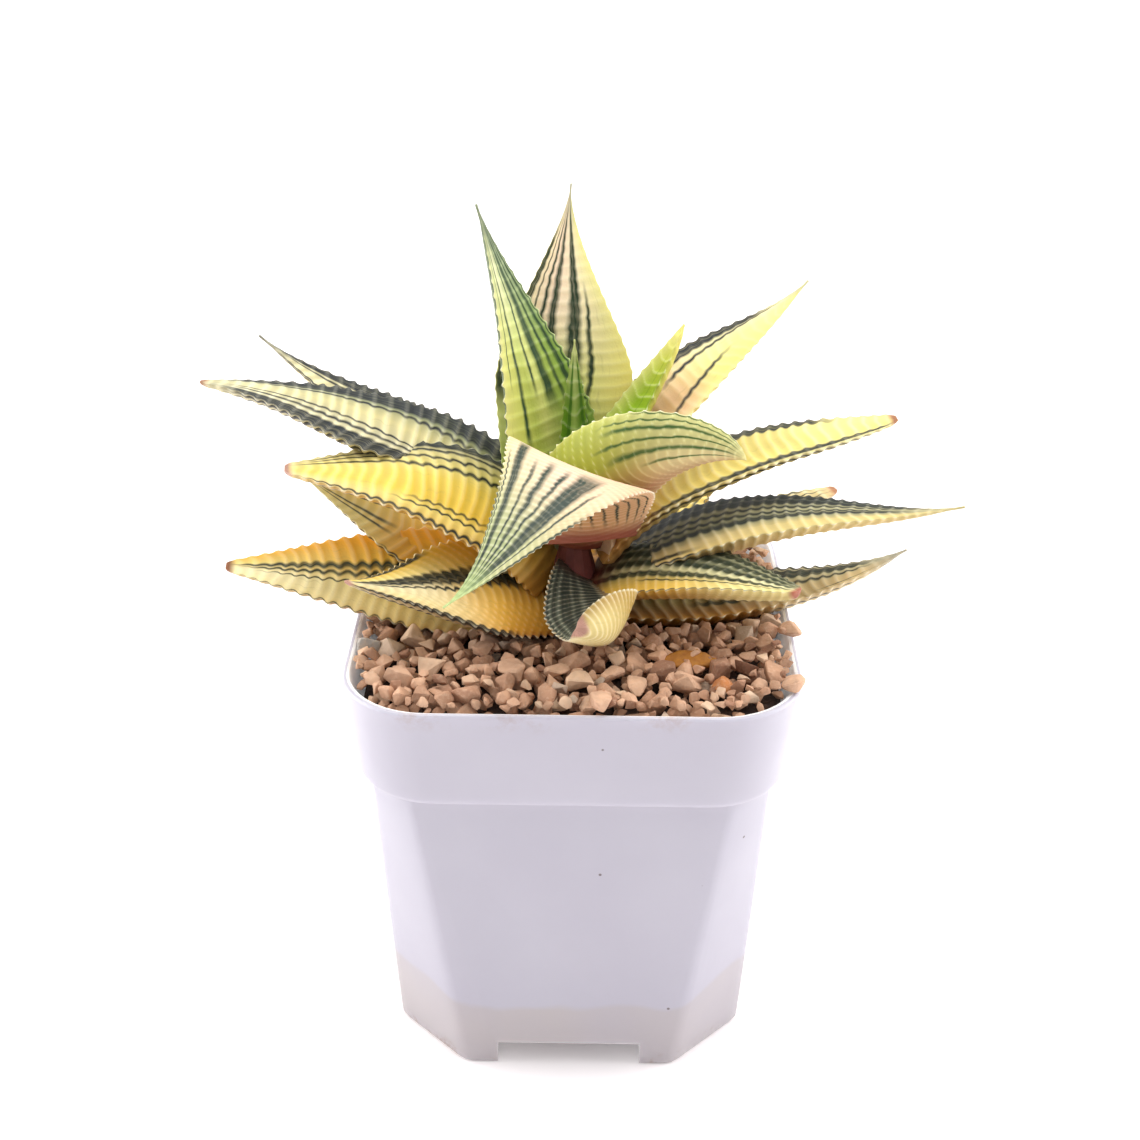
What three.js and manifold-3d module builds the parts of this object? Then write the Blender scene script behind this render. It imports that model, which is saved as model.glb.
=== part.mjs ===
// A striped haworthia in a small square plastic nursery pot with a gravel top dressing.
// Millimetres, +Z up, the origin under the middle of the pot on the surface it stands on.
// +X is the plant's right and +Y its back. Seen from above, headings run anticlockwise from +X.
import * as THREE from "three";
import { mergeVertices } from "three/addons/utils/BufferGeometryUtils.js";
import Module from "manifold-3d";

const wasm = await Module();
wasm.setup();

// Pot: a thin moulded shell, a chamfered square at the foot and a rounded square at the rim.
const POT_HEIGHT = 71.6;
const WALL = 1.3;
const FOOT_HALF = 29;
const FOOT_CHAMFER = 11.6;
const BODY_TOP_HALF = 31.2;
const BODY_TOP_CHAMFER = 6.5;
const BAND_HEIGHT = 17;
const BAND_FOOT_HALF = 33.2;
const RIM_HALF = 35;
const RIM_RADIUS = 13;
const CHANNEL_WIDTH = 23.6;
const CHANNEL_HEIGHT = 4.6;
const DRAIN_DIAMETER = 6;
const DRAIN_SPACING = 18;
const CORNER_STEPS = 4;
const BAND_LEDGE = 0.2;

// What the pot holds.
const GAP = 0.3;
const SLIVER = 0.004;
const MIX_TOP = 65;
const GRAVEL_TOP = 71;
const GRAVEL_BUMP = 1.2;
const GRAVEL_GRAIN = 5;

// Stem and roots.
const STEM_FOOT = 62;
const STEM_TOP = 87;
const STEM_RADIUS = 3.4;
const ROOT_COUNT = 5;
const ROOT_RADIUS = 1.1;
const ROOT_REACH = 15;
const ROOT_DEPTH = 34;

// Leaves, from the youngest at the heart to the oldest on the gravel. A leaf's line starts at
// "out" from the stem's axis and "up" from the ground. It heads off at "heading", swings by "turn",
// and climbs at an angle that goes from "rise" to "fall" by the power "bend", with "flick" added
// at the tip. "widest" is where along its length the blade is widest, "point" how fine the tip is,
// "foot" the width at the base as a share of "width", "cup" how hollow the upper face is, and
// "roll" and "twist" the tilt of the blade about its own line at the base and at the tip.
// "cut" is under 1 where a blunt, scarred tip has lost its point.
const LEAF_COLUMNS = [
  "heading", "turn", "out", "up", "rise", "fall", "bend", "flick", "length", "width", "thick",
  "widest", "point", "foot", "cup", "roll", "twist", "cut",
];
const LEAVES = {
  heart_leaf_1: [95, 0, 1, 90, 80, 88, 1, 0, 26, 4.5, 2.4, 0.3, 1, 0.8, 0.25, 0, 0, 1],
  heart_leaf_2: [24, -4, 1, 91, 63, 47, 1, 13, 31.5, 9, 3, 0.26, 0.8, 0.8, 0.2, 11, 0, 1],
  heart_leaf_3: [313, 47, -2, 85, 64, -21, 1.6, -16, 39, 16.5, 3.6, 0.4, 0.85, 0.8, 0.25, -64, -79, 1],
  inner_leaf_1: [285, -73, 4.5, 85.5, 111, -101, 0.85, 79, 57, 23, 4.2, 0.28, 1.4, 0.75, 0.1, -14, -21, 1],
  inner_leaf_2: [135, 18, 2, 82, 88, 48, 0.95, 23, 56, 18, 4.2, 0.28, 1.35, 0.7, 0.25, -19, 0, 1],
  inner_leaf_3: [105, -25, 3, 81, 75, 65, 1, -3, 58, 22, 4, 0.46, 1.7, 0.75, 0.1, 0, 5, 1],
  inner_leaf_4: [24, -3, 3, 81.5, 92, -13, 0.9, 59, 57.5, 16.5, 4, 0.38, 1.3, 0.7, 0.15, 4, 16, 1],
  middle_leaf_1: [286, -36, 2.5, 79, 4, 25, 1.1, -18, 32, 14, 6, 0.48, 0.9, 0.6, 0.2, -39, 80, 0.92],
  middle_leaf_2: [330, -6, 3, 77, 40, -12, 0.7, 19, 41, 14, 5, 0.4, 0.8, 0.75, 0.05, 23, -10, 0.94],
  middle_leaf_3: [189, -1, 3, 77.5, 71, -23, 0.8, 32, 53.5, 19.5, 5.2, 0.4, 1.05, 0.7, 0.05, -39, -1, 0.93],
  middle_leaf_4: [170, 9, 3, 79, 52, 3, 0.9, -2, 68, 19.5, 4.8, 0.32, 1, 0.7, 0.05, -42, 9, 0.96],
  middle_leaf_5: [158, 9, 3, 79, 49, 5, 0.9, 34, 61, 16.5, 4.4, 0.36, 1.4, 0.7, 0.1, -22, 0, 1],
  middle_leaf_6: [11, -4, 4, 81, 68, -13, 0.6, 29, 57, 13.5, 4, 0.4, 0.85, 0.7, 0, -3, 11, 0.95],
  middle_leaf_7: [356, -4, 3, 76, 42, -35, 1.15, 52, 61.5, 15.5, 5, 0.32, 1.4, 0.7, 0.05, 5, 2, 1],
  outer_leaf_1: [215, -4, 3, 74.5, 25, 3, 0.9, 28, 42.5, 20, 5.4, 0.38, 1.7, 0.7, 0.05, -38, 1, 0.93],
  outer_leaf_2: [170, -4, 3, 74, 11, 32, 1, -2, 47.5, 17, 4.6, 0.36, 1.5, 0.7, 0.05, -4, -6, 0.97],
  outer_leaf_3: [186, -1, 3, 73.5, 14, -1, 0.95, 7, 56.5, 19.5, 5.2, 0.38, 1.05, 0.7, 0.05, -42, -5, 0.94],
  outer_leaf_4: [21, -1, 3, 75, 18, 9, 1, -1, 48.5, 14, 4.6, 0.36, 1, 0.7, 0.05, 0, 1, 0.93],
  outer_leaf_5: [2, 0, 3, 73, 0, 12, 1.05, 19, 52, 14, 4.8, 0.36, 1.1, 0.7, 0.05, 7, 0, 1],
};
// The plain colour of each leaf, in the same order.
const LEAF_COLOURS = [
  "#6f8f2c", "#b5c23c", "#96a552", "#c6bd98", "#8fa35a", "#ddc878", "#e0cd7c",
  "#b3ab78", "#8a8a54", "#dcb850", "#a5a078", "#8c8b70", "#e3c455", "#8f8b60",
  "#cfa548", "#cdb364", "#d9a83e", "#c2a058", "#b19a60",
];
const BACK_COLOUR = "#b9a869";
// The back of the rosette: two tiers of shorter leaves, each given by its heading alone.
const BACK_UPPER = { first: 50, step: 27, count: 4, up: 75.5, rise: 18, fall: 4, flick: 10, length: 39.2 };
const BACK_LOWER = { first: 64, step: 27, count: 3, up: 73.5, rise: 12, fall: 2, flick: 8, length: 38 };
const BACK_SHAPE = [15, 4.6, 0.36, 1.1, 0.7, 0.05, 0, 0, 1];

const LEAF_RINGS = 10;
const LEAF_SHARE_OF_THICKNESS_ABOVE = 0.12;
const ACROSS_TOP = [-1, -0.5, 0, 0.5, 1];
const ACROSS_BOTTOM = [0.85, 0.45, 0, -0.45, -0.85];

// Stones that stand proud of the gravel or lie on the rim: place, size and turn.
const STONES = [
  { at: [4.2, -32.2, 73], size: [4.4, 6.6, 3.6], turn: -12 },
  { at: [34.2, -10.8, 73.2], size: [4.6, 4.2, 3.2], turn: 70 },
  { at: [33, -26.4, 73], size: [4.4, 4, 3.2], turn: 25 },
  { at: [-31.8, -15.4, 72.2], size: [5.6, 4.6, 3.6], turn: 120 },
  { at: [17.3, -24.2, 72.2], size: [7, 3.4, 3], turn: 20 },
  { at: [22.6, -26.4, 72], size: [3.8, 6, 3.2], turn: 15 },
];
const SCRAP = { at: [17.8, -19.2, 72], length: 9, width: 3.2, thick: 0.8, turn: 4 };

const group = new THREE.Group();
const degrees = THREE.MathUtils.degToRad;

function addMesh(name, solid, colour, roughness, metalness = 0) {
  const mesh = new THREE.Mesh(
    toGeometry(solid),
    new THREE.MeshStandardMaterial({ color: colour, roughness, metalness }),
  );
  mesh.name = name;
  group.add(mesh);
}

// A closed three.js geometry as a solid, and back again.
function toSolid(geometry) {
  const bare = geometry.index ? geometry.clone() : geometry;
  bare.deleteAttribute("normal");
  bare.deleteAttribute("uv");
  const merged = mergeVertices(bare, 1e-4);
  return new wasm.Manifold(new wasm.Mesh({
    numProp: 3,
    vertProperties: new Float32Array(merged.attributes.position.array),
    triVerts: new Uint32Array(merged.index.array),
  }));
}

function toGeometry(solid) {
  const mesh = solid.getMesh();
  const geometry = new THREE.BufferGeometry();
  geometry.setAttribute("position", new THREE.BufferAttribute(mesh.vertProperties, mesh.numProp));
  geometry.setIndex(new THREE.BufferAttribute(mesh.triVerts, 1));
  geometry.computeVertexNormals();
  return geometry;
}

function placed(geometry, x, y, z) {
  return toSolid(geometry.translate(x, y, z));
}

// A skin over a stack of rings with the same number of points, closed by a fan at each end.
function loft(rings) {
  const count = rings[0].length;
  const points = rings.flat();
  const index = [];
  for (let ring = 0; ring + 1 < rings.length; ring++) {
    for (let i = 0; i < count; i++) {
      const a = ring * count + i;
      const b = ring * count + (i + 1) % count;
      index.push(a, b, b + count, a, b + count, a + count);
    }
  }
  for (const [ring, flip] of [[0, true], [rings.length - 1, false]]) {
    const middle = new THREE.Vector3();
    rings[ring].forEach((point) => middle.addScaledVector(point, 1 / count));
    points.push(middle);
    for (let i = 0; i < count; i++) {
      const a = ring * count + i;
      const b = ring * count + (i + 1) % count;
      index.push(points.length - 1, ...(flip ? [b, a] : [a, b]));
    }
  }
  const geometry = new THREE.BufferGeometry().setFromPoints(points);
  geometry.setIndex(index);
  return toSolid(geometry);
}

// ---- Pot ----

// A square of the given half width with its corners cut back: "round" 0 is a chamfer, 1 an arc.
function potRing([z, half, corner, round]) {
  const ring = [];
  for (let quarter = 0; quarter < 4; quarter++) {
    for (let step = 0; step <= CORNER_STEPS; step++) {
      const share = step / CORNER_STEPS;
      const angle = share * Math.PI / 2;
      const arc = new THREE.Vector2(Math.cos(angle), Math.sin(angle));
      const point = new THREE.Vector2(1 - share, share).lerp(arc, round);
      point.multiplyScalar(corner).addScalar(half - corner);
      point.rotateAround(new THREE.Vector2(), quarter * Math.PI / 2);
      ring.push(new THREE.Vector3(point.x, point.y, z));
    }
  }
  return ring;
}

function potOuter(grow) {
  const bandFoot = POT_HEIGHT - BAND_HEIGHT;
  return loft([
    [-grow, FOOT_HALF + grow, FOOT_CHAMFER, 0],
    [bandFoot - grow, BODY_TOP_HALF + grow, BODY_TOP_CHAMFER, 0.3],
    [bandFoot + BAND_LEDGE - grow, BAND_FOOT_HALF + grow, RIM_RADIUS - 0.6, 1],
    [POT_HEIGHT + grow, RIM_HALF + grow, RIM_RADIUS, 1],
  ].map(potRing));
}

function potInner(shrink, floor, top) {
  const inset = WALL + shrink;
  const bandFoot = POT_HEIGHT - BAND_HEIGHT + WALL;
  const lean = (BODY_TOP_HALF - FOOT_HALF) / bandFoot;
  const rimSlope = (RIM_HALF - BAND_FOOT_HALF) / BAND_HEIGHT;
  const topHalf = RIM_HALF + (top - POT_HEIGHT) * rimSlope;
  return loft([
    [floor, FOOT_HALF + floor * lean - inset, FOOT_CHAMFER - 0.5, 0],
    [bandFoot - shrink, BODY_TOP_HALF - inset, BODY_TOP_CHAMFER - 0.4, 0.3],
    [bandFoot + 2 + shrink, BAND_FOOT_HALF - inset, RIM_RADIUS - 1.4, 1],
    [top, topHalf - inset, RIM_RADIUS - 0.8, 1],
  ].map(potRing));
}

// The two crossing channels moulded into the underside, thicker by "skin" on every side.
function channels(skin) {
  const width = CHANNEL_WIDTH + 2 * skin;
  const height = CHANNEL_HEIGHT + skin + 10;
  const along = 3 * RIM_HALF;
  const middle = CHANNEL_HEIGHT + skin - height / 2;
  const cross = placed(new THREE.BoxGeometry(along, width, height), 0, 0, middle);
  return cross.add(placed(new THREE.BoxGeometry(width, along, height), 0, 0, middle));
}

function drainHoles() {
  const places = [[0, 0]];
  for (const side of [-DRAIN_SPACING, DRAIN_SPACING]) {
    places.push([side, 0], [0, side]);
  }
  return places.map(([x, y]) => {
    const hole = new THREE.CylinderGeometry(DRAIN_DIAMETER / 2, DRAIN_DIAMETER / 2, 12, 12);
    return placed(hole.rotateX(Math.PI / 2), x, y, CHANNEL_HEIGHT);
  }).reduce((all, hole) => all.add(hole));
}

const cavity = potInner(0, WALL, POT_HEIGHT + 1).subtract(channels(WALL));
const pot = potOuter(0).subtract(cavity).subtract(channels(0)).subtract(drainHoles());
const potClearance = potOuter(GAP).subtract(potInner(GAP, WALL + GAP, POT_HEIGHT + 1));

// ---- Stem and roots ----

function stem(grow) {
  const profile = [
    [0, STEM_FOOT - grow],
    [STEM_RADIUS * 0.5 + grow, STEM_FOOT - grow],
    [STEM_RADIUS + grow, STEM_FOOT + 5],
    [STEM_RADIUS + grow, STEM_TOP - 8],
    [STEM_RADIUS * 0.35 + grow, STEM_TOP + grow],
    [0, STEM_TOP + grow],
  ].map(([radius, z]) => new THREE.Vector2(radius, z));
  return toSolid(new THREE.LatheGeometry(profile, 12).rotateX(Math.PI / 2));
}

// A thick white root that leaves the stem's foot sideways and bends down into the mix.
function root(number, grow) {
  const heading = degrees(25 + number * 360 / ROOT_COUNT);
  const reach = ROOT_REACH * (0.8 + 0.1 * (number % 3));
  const depth = ROOT_DEPTH * (0.85 + 0.07 * (number % 4));
  const start = STEM_RADIUS + 3 * GAP;
  const point = (out, down) => new THREE.Vector3(
    Math.cos(heading) * out, Math.sin(heading) * out, STEM_FOOT + 6 - down,
  );
  const path = new THREE.CatmullRomCurve3([
    point(start - grow, 0), point(reach * 0.55, depth * 0.15),
    point(reach * 0.9, depth * 0.5), point(reach, depth + grow),
  ]);
  const section = new THREE.Shape();
  section.absarc(0, 0, ROOT_RADIUS + grow, 0, 2 * Math.PI);
  const settings = { extrudePath: path, steps: 7, curveSegments: 3, bevelEnabled: false };
  return toSolid(new THREE.ExtrudeGeometry(section, settings));
}

// ---- Leaves ----

function namedLeaf(columns) {
  return Object.fromEntries(LEAF_COLUMNS.map((column, i) => [column, columns[i]]));
}

function backLeaves() {
  const leaves = [];
  for (const tier of [BACK_UPPER, BACK_LOWER]) {
    for (let i = 0; i < tier.count; i++) {
      const heading = tier.first + i * tier.step;
      const line = [heading, 0, 3, tier.up, tier.rise, tier.fall, 1, tier.flick, tier.length];
      leaves.push(namedLeaf([...line, ...BACK_SHAPE]));
    }
  }
  return leaves;
}

function climb(leaf, s) {
  return degrees(leaf.rise + (leaf.fall - leaf.rise) * s ** leaf.bend + leaf.flick * s ** 4);
}

function bearing(leaf, s) {
  return degrees(leaf.heading + leaf.turn * s);
}

function along(leaf, s) {
  const up = climb(leaf, s);
  const around = bearing(leaf, s);
  return new THREE.Vector3(
    Math.cos(up) * Math.cos(around), Math.cos(up) * Math.sin(around), Math.sin(up),
  );
}

// The leaf's line: small straight steps that follow its climb and its bearing.
function leafLine(leaf, s) {
  const steps = 60;
  const around = degrees(leaf.heading);
  const place = new THREE.Vector3(leaf.out * Math.cos(around), leaf.out * Math.sin(around), leaf.up);
  for (let i = 0; i < steps; i++) {
    place.addScaledVector(along(leaf, s * (i + 0.5) / steps), leaf.length * s / steps);
  }
  return place;
}

// How the width and the thickness swell from the foot and close to the tip.
function swelling(s, widest, point, foot) {
  const opening = foot + (1 - foot) * Math.sin(Math.PI / 2 * Math.min(s / widest, 1));
  const closing = Math.max(0, (s - widest) / (1 - widest));
  return opening * (1 - closing ** 1.5) ** point;
}

function leafRing(leaf, s, grow) {
  const forward = along(leaf, s);
  const up = climb(leaf, s);
  const around = bearing(leaf, s);
  const upright = new THREE.Vector3(
    -Math.sin(up) * Math.cos(around), -Math.sin(up) * Math.sin(around), Math.cos(up),
  );
  const tilt = degrees(leaf.roll + (leaf.twist - leaf.roll) * s);
  upright.applyAxisAngle(forward, tilt);
  const sideways = new THREE.Vector3().crossVectors(forward, upright);
  const half = Math.max(0.3, leaf.width / 2 * swelling(s, leaf.widest, leaf.point, leaf.foot));
  const thick = Math.max(0.5, leaf.thick * swelling(s, 0.3, leaf.point * 0.8, 0.8));
  const centre = leafLine(leaf, s);
  const point = (across, height) => centre.clone()
    .addScaledVector(sideways, across * (half + grow))
    .addScaledVector(upright, height);
  const top = (across) => -leaf.cup * half * (1 - across ** 2);
  const shoulder = (across) => Math.sqrt(1 - across ** 2);
  const crown = LEAF_SHARE_OF_THICKNESS_ABOVE * thick + grow;
  const belly = (across) => (thick + grow) * (1 - Math.abs(across) ** 1.7) ** 0.75;
  return [
    ...ACROSS_TOP.map((across) => point(across, top(across) + crown * shoulder(across))),
    ...ACROSS_BOTTOM.map((across) => point(across, top(across) - belly(across))),
  ];
}

function leafSolid(leaf, grow) {
  const rings = [];
  for (let i = 0; i < LEAF_RINGS; i++) {
    rings.push(leafRing(leaf, leaf.cut * i / (LEAF_RINGS - 1), grow));
  }
  const first = along(leaf, 0).multiplyScalar(-grow);
  const last = along(leaf, leaf.cut).multiplyScalar(grow);
  rings[0].forEach((point) => point.add(first));
  rings[LEAF_RINGS - 1].forEach((point) => point.add(last));
  return loft(rings);
}

function largestPiece(solid) {
  const pieces = solid.decompose();
  return pieces.reduce((best, piece) => (piece.volume() > best.volume() ? piece : best));
}

function touches(one, other) {
  const a = one.boundingBox();
  const b = other.boundingBox();
  return [0, 1, 2].every((i) => a.min[i] < b.max[i] && b.min[i] < a.max[i]);
}

function without(solid, neighbours) {
  let rest = solid;
  for (const neighbour of neighbours.filter((one) => touches(solid, one))) {
    if (rest.intersect(neighbour).volume() > SLIVER) {
      rest = largestPiece(rest.subtract(neighbour)).simplify(SLIVER);
    }
  }
  return rest;
}

// ---- Gravel, stones and the fallen scrap ----

// A repeatable sequence of numbers from 0 to 1.
function seeded(seed) {
  let state = seed;
  return () => {
    state = (state * 16807) % 2147483647;
    return state / 2147483647;
  };
}

// A slab whose upper face is a grid of bumps the size of the grains.
function gravelSlab() {
  const random = seeded(41);
  const cells = Math.ceil(2 * RIM_HALF / GRAVEL_GRAIN);
  const side = cells * GRAVEL_GRAIN;
  const slab = new THREE.BoxGeometry(side, side, 1, cells, cells, 1);
  const place = slab.attributes.position;
  const heights = new Map();
  for (let i = 0; i < place.count; i++) {
    const key = `${place.getX(i).toFixed(2)} ${place.getY(i).toFixed(2)}`;
    if (!heights.has(key)) {
      heights.set(key, GRAVEL_TOP + GRAVEL_BUMP * (2 * random() - 1));
    }
    place.setZ(i, place.getZ(i) > 0 ? heights.get(key) : MIX_TOP + GAP);
  }
  return toSolid(slab);
}

// A broken granule: a faceted ball with its corners pushed in and out.
function stone({ at, size, turn }, number, grow) {
  const random = seeded(97 + 13 * number);
  const ball = mergeVertices(bareBall());
  const place = ball.attributes.position;
  for (let i = 0; i < place.count; i++) {
    const corner = new THREE.Vector3().fromBufferAttribute(place, i);
    corner.multiplyScalar(0.85 + 0.25 * random());
    corner.set(...corner.toArray().map((value, axis) => value * (size[axis] / 2 + grow)));
    place.setXYZ(i, ...corner.toArray());
  }
  return placed(ball.rotateZ(degrees(turn)), ...at);
}

function bareBall() {
  const ball = new THREE.IcosahedronGeometry(1, 1);
  ball.deleteAttribute("normal");
  ball.deleteAttribute("uv");
  return ball;
}

// A curled strip of dead leaf, thin and a little arched.
function scrap(grow) {
  const { at, length, width, thick, turn } = SCRAP;
  const strip = new THREE.BoxGeometry(length + 2 * grow, width + 2 * grow, thick + 2 * grow, 6, 2, 1);
  const place = strip.attributes.position;
  for (let i = 0; i < place.count; i++) {
    const x = place.getX(i);
    const share = 2 * x / length;
    place.setY(i, place.getY(i) * (1 - 0.6 * share ** 2));
    place.setZ(i, place.getZ(i) + 0.9 * (1 - share ** 2) + 0.25 * place.getY(i));
  }
  return placed(strip.rotateZ(degrees(turn)), ...at);
}

// ---- Assembly ----

const stoneClearances = STONES.map((one, i) => stone(one, i, GAP));
const roots = Array.from({ length: ROOT_COUNT }, (_, i) => root(i, 0));
const rootClearances = roots.map((_, i) => root(i, GAP));

const leaves = Object.entries(LEAVES).map(([name, columns], i) => (
  { name, colour: LEAF_COLOURS[i], ...namedLeaf(columns) }
));
const lastOuter = leaves.filter(({ name }) => name.startsWith("outer")).length;
backLeaves().forEach((leaf, i) => {
  leaves.push({ name: `outer_leaf_${lastOuter + 1 + i}`, colour: BACK_COLOUR, ...leaf });
});

// Younger leaves stay whole. Each older one gives way to the stem, the rim and those before it.
const leafClearances = [];
const finishedLeaves = [];
for (const leaf of leaves) {
  const loose = without(leafSolid(leaf, 0), [stem(GAP), potClearance, ...leafClearances]);
  const solid = without(loose, finishedLeaves);
  leafClearances.push(leafSolid(leaf, GAP));
  finishedLeaves.push(solid);
  addMesh(leaf.name, solid, leaf.colour, 0.42);
}

const buried = [stem(GAP), ...rootClearances];
const lying = [scrap(GAP), ...stoneClearances, ...leafClearances];
const overStones = [potClearance, scrap(GAP), ...leafClearances];
const stones = STONES.map((one, i) => without(stone(one, i, 0), overStones));
const fill = potInner(GAP, WALL + GAP, POT_HEIGHT + 5).subtract(channels(WALL + GAP));
const underTop = placed(new THREE.BoxGeometry(100, 100, MIX_TOP), 0, 0, MIX_TOP / 2);
const mix = without(fill.intersect(underTop), buried);
const gravel = without(fill.intersect(gravelSlab()), [...buried, ...lying]);

addMesh("pot", pot, "#d6d5df", 0.35);
addMesh("potting_mix", mix, "#4a3a2e", 0.95);
addMesh("top_dressing", gravel, "#b98f78", 0.9);
addMesh("stem", stem(0), "#a8a468", 0.6);
roots.forEach((one, i) => addMesh(`root_${i + 1}`, one, "#d9cfb4", 0.7));
stones.forEach((one, i) => addMesh(`stone_${i + 1}`, one, i === 3 ? "#b3aca6" : "#c09a84", 0.9));
addMesh("dry_leaf_scrap", scrap(0), "#c8842c", 0.7);

export default group;
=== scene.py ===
import random
from math import atan2, ceil, cos, exp, hypot, pi, radians, sin, sqrt

import bmesh
import bpy
from mathutils import Matrix, Vector, noise
from mathutils.bvhtree import BVHTree


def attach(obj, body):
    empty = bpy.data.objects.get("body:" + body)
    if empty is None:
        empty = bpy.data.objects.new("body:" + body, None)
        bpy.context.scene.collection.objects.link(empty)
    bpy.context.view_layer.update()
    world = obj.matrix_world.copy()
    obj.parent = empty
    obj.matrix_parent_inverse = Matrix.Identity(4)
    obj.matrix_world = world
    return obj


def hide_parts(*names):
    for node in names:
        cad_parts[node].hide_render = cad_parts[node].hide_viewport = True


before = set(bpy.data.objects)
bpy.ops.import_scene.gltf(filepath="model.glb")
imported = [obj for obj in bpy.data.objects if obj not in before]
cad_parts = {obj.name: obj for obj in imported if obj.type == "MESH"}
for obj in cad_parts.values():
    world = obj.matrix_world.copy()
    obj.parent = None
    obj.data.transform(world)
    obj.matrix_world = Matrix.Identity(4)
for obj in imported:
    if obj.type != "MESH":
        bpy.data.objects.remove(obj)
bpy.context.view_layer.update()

scene = bpy.context.scene
MM = 0.001


# ---- Camera, floor and light ----
# A plain white sweep in soft studio light: the sides and the top are lit more than the front.

EYE = (0.0017, -0.2486, 0.2040)
LENS = 54.33
SENSOR = 36
LOOK_DOWN, LOOK_LEFT, LEAN = 26.88, 0.55, 0.48

camera = bpy.data.objects.new("camera", bpy.data.cameras.new("camera"))
scene.collection.objects.link(camera)
camera.data.lens = LENS
camera.data.sensor_width = SENSOR
camera.data.clip_start = 0.01
camera.matrix_world = (
    Matrix.Translation(EYE)
    @ Matrix.Rotation(radians(LOOK_LEFT), 4, "Z")
    @ Matrix.Rotation(radians(90 - LOOK_DOWN), 4, "X")
    @ Matrix.Rotation(radians(LEAN), 4, "Z")
)
scene.camera = camera
scene.view_settings.view_transform = "Standard"


def linear(colour):
    """An sRGB hex colour as linear red, green, blue and alpha."""
    parts = [int(colour[i:i + 2], 16) / 255 for i in (1, 3, 5)]
    return [p / 12.92 if p <= 0.04045 else ((p + 0.055) / 1.055) ** 2.4 for p in parts] + [1]


def add(tree, kind, inputs=(), stops=(), **settings):
    """Adds a node, applies its settings and a colour ramp's stops, and feeds its inputs, listed in
    order or by name, with plain values, colours, or links from sockets or other nodes."""
    node = tree.nodes.new("ShaderNode" + kind)
    for name, value in settings.items():
        setattr(node, name, value)
    for i, (position, colour) in enumerate(stops):
        elements = node.color_ramp.elements
        if i == 0:
            elements.remove(elements[1])
        element = elements.new(position) if i else elements[0]
        element.position = position
        element.color = linear(colour)
    named = inputs if isinstance(inputs, dict) else dict(enumerate(inputs))
    for name, value in named.items():
        if isinstance(value, bpy.types.Node):
            value = next(socket for socket in value.outputs if socket.enabled)
        if isinstance(value, bpy.types.NodeSocket):
            tree.links.new(value, node.inputs[name])
        else:
            node.inputs[name].default_value = linear(value) if isinstance(value, str) else value
    return node


def new_material(name):
    """A material without nodes, its tree, and the object's own coordinates in it."""
    material = bpy.data.materials.new(name)
    material.use_nodes = True
    tree = material.node_tree
    tree.nodes.clear()
    return material, tree, add(tree, "TexCoord").outputs["Object"]


def new_piece(name, mesh, material):
    """Turns a finished bmesh into a smooth-shaded object in the scene."""
    data = bpy.data.meshes.new(name)
    mesh.to_mesh(data)
    mesh.free()
    data.materials.append(material)
    data.polygons.foreach_set("use_smooth", [True] * len(data.polygons))
    piece = bpy.data.objects.new(name, data)
    scene.collection.objects.link(piece)
    return piece


sweep, sweep_tree, _ = new_material("white_paper_sweep")
# Brightened paper gives back a little more light than falls on it.
paper = add(sweep_tree, "BsdfPrincipled", {
    "Base Color": "#fffafa", "Emission Color": "#ffffff", "Emission Strength": 0.1,
    "Roughness": 0.9, "Specular IOR Level": 0.1})
add(sweep_tree, "OutputMaterial", [paper])
floor_mesh = bmesh.new()
bmesh.ops.create_grid(floor_mesh, x_segments=1, y_segments=1, size=3)
floor = new_piece("floor", floor_mesh, sweep)

world = bpy.data.worlds.new("studio")
world.use_nodes = True
sky_tree = world.node_tree
sky_tree.nodes.clear()
facing = add(sky_tree, "SeparateXYZ", [add(sky_tree, "TexCoord").outputs["Generated"]])
wall = add(sky_tree, "MapRange", [facing.outputs[1], -0.5, 0.25, 0.3])
ceiling = add(sky_tree, "MapRange", [facing.outputs[2], 0.25, 0.65, 0.3, 1.05])
glow = add(sky_tree, "Math", [wall, ceiling], operation="MAXIMUM")
add(sky_tree, "OutputWorld", [add(sky_tree, "Background", ["#fefeff", glow])])
scene.world = world

# Each softbox: where it stands, its size and its power in watts.
SOFTBOXES = {
    "left": ((-0.8, 0.1, 0.35), 0.6, 5.5),
    "right": ((0.8, 0.1, 0.35), 0.6, 5.0),
    "top": ((0.0, 0.15, 1.0), 0.6, 5.0),
}
SUBJECT = Vector((0, 0, 0.07))
for side, (place, size, power) in SOFTBOXES.items():
    light = bpy.data.objects.new(f"softbox_{side}", bpy.data.lights.new(f"softbox_{side}", "AREA"))
    scene.collection.objects.link(light)
    light.data.size = size
    light.data.energy = power
    light.location = place
    light.rotation_euler = (SUBJECT - light.location).to_track_quat("-Z", "Y").to_euler()


# ---- Pot ----
# A square nursery pot, injection moulded in white polypropylene about 1.3 mm thick.
# The foot is a chamfered square, the deep rim band a rounded one that stands proud of the body.

POT_HALF = 35
POT_HEIGHT = 71.6
WALL = 1.3
BAND_FOOT = 54.6
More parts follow.
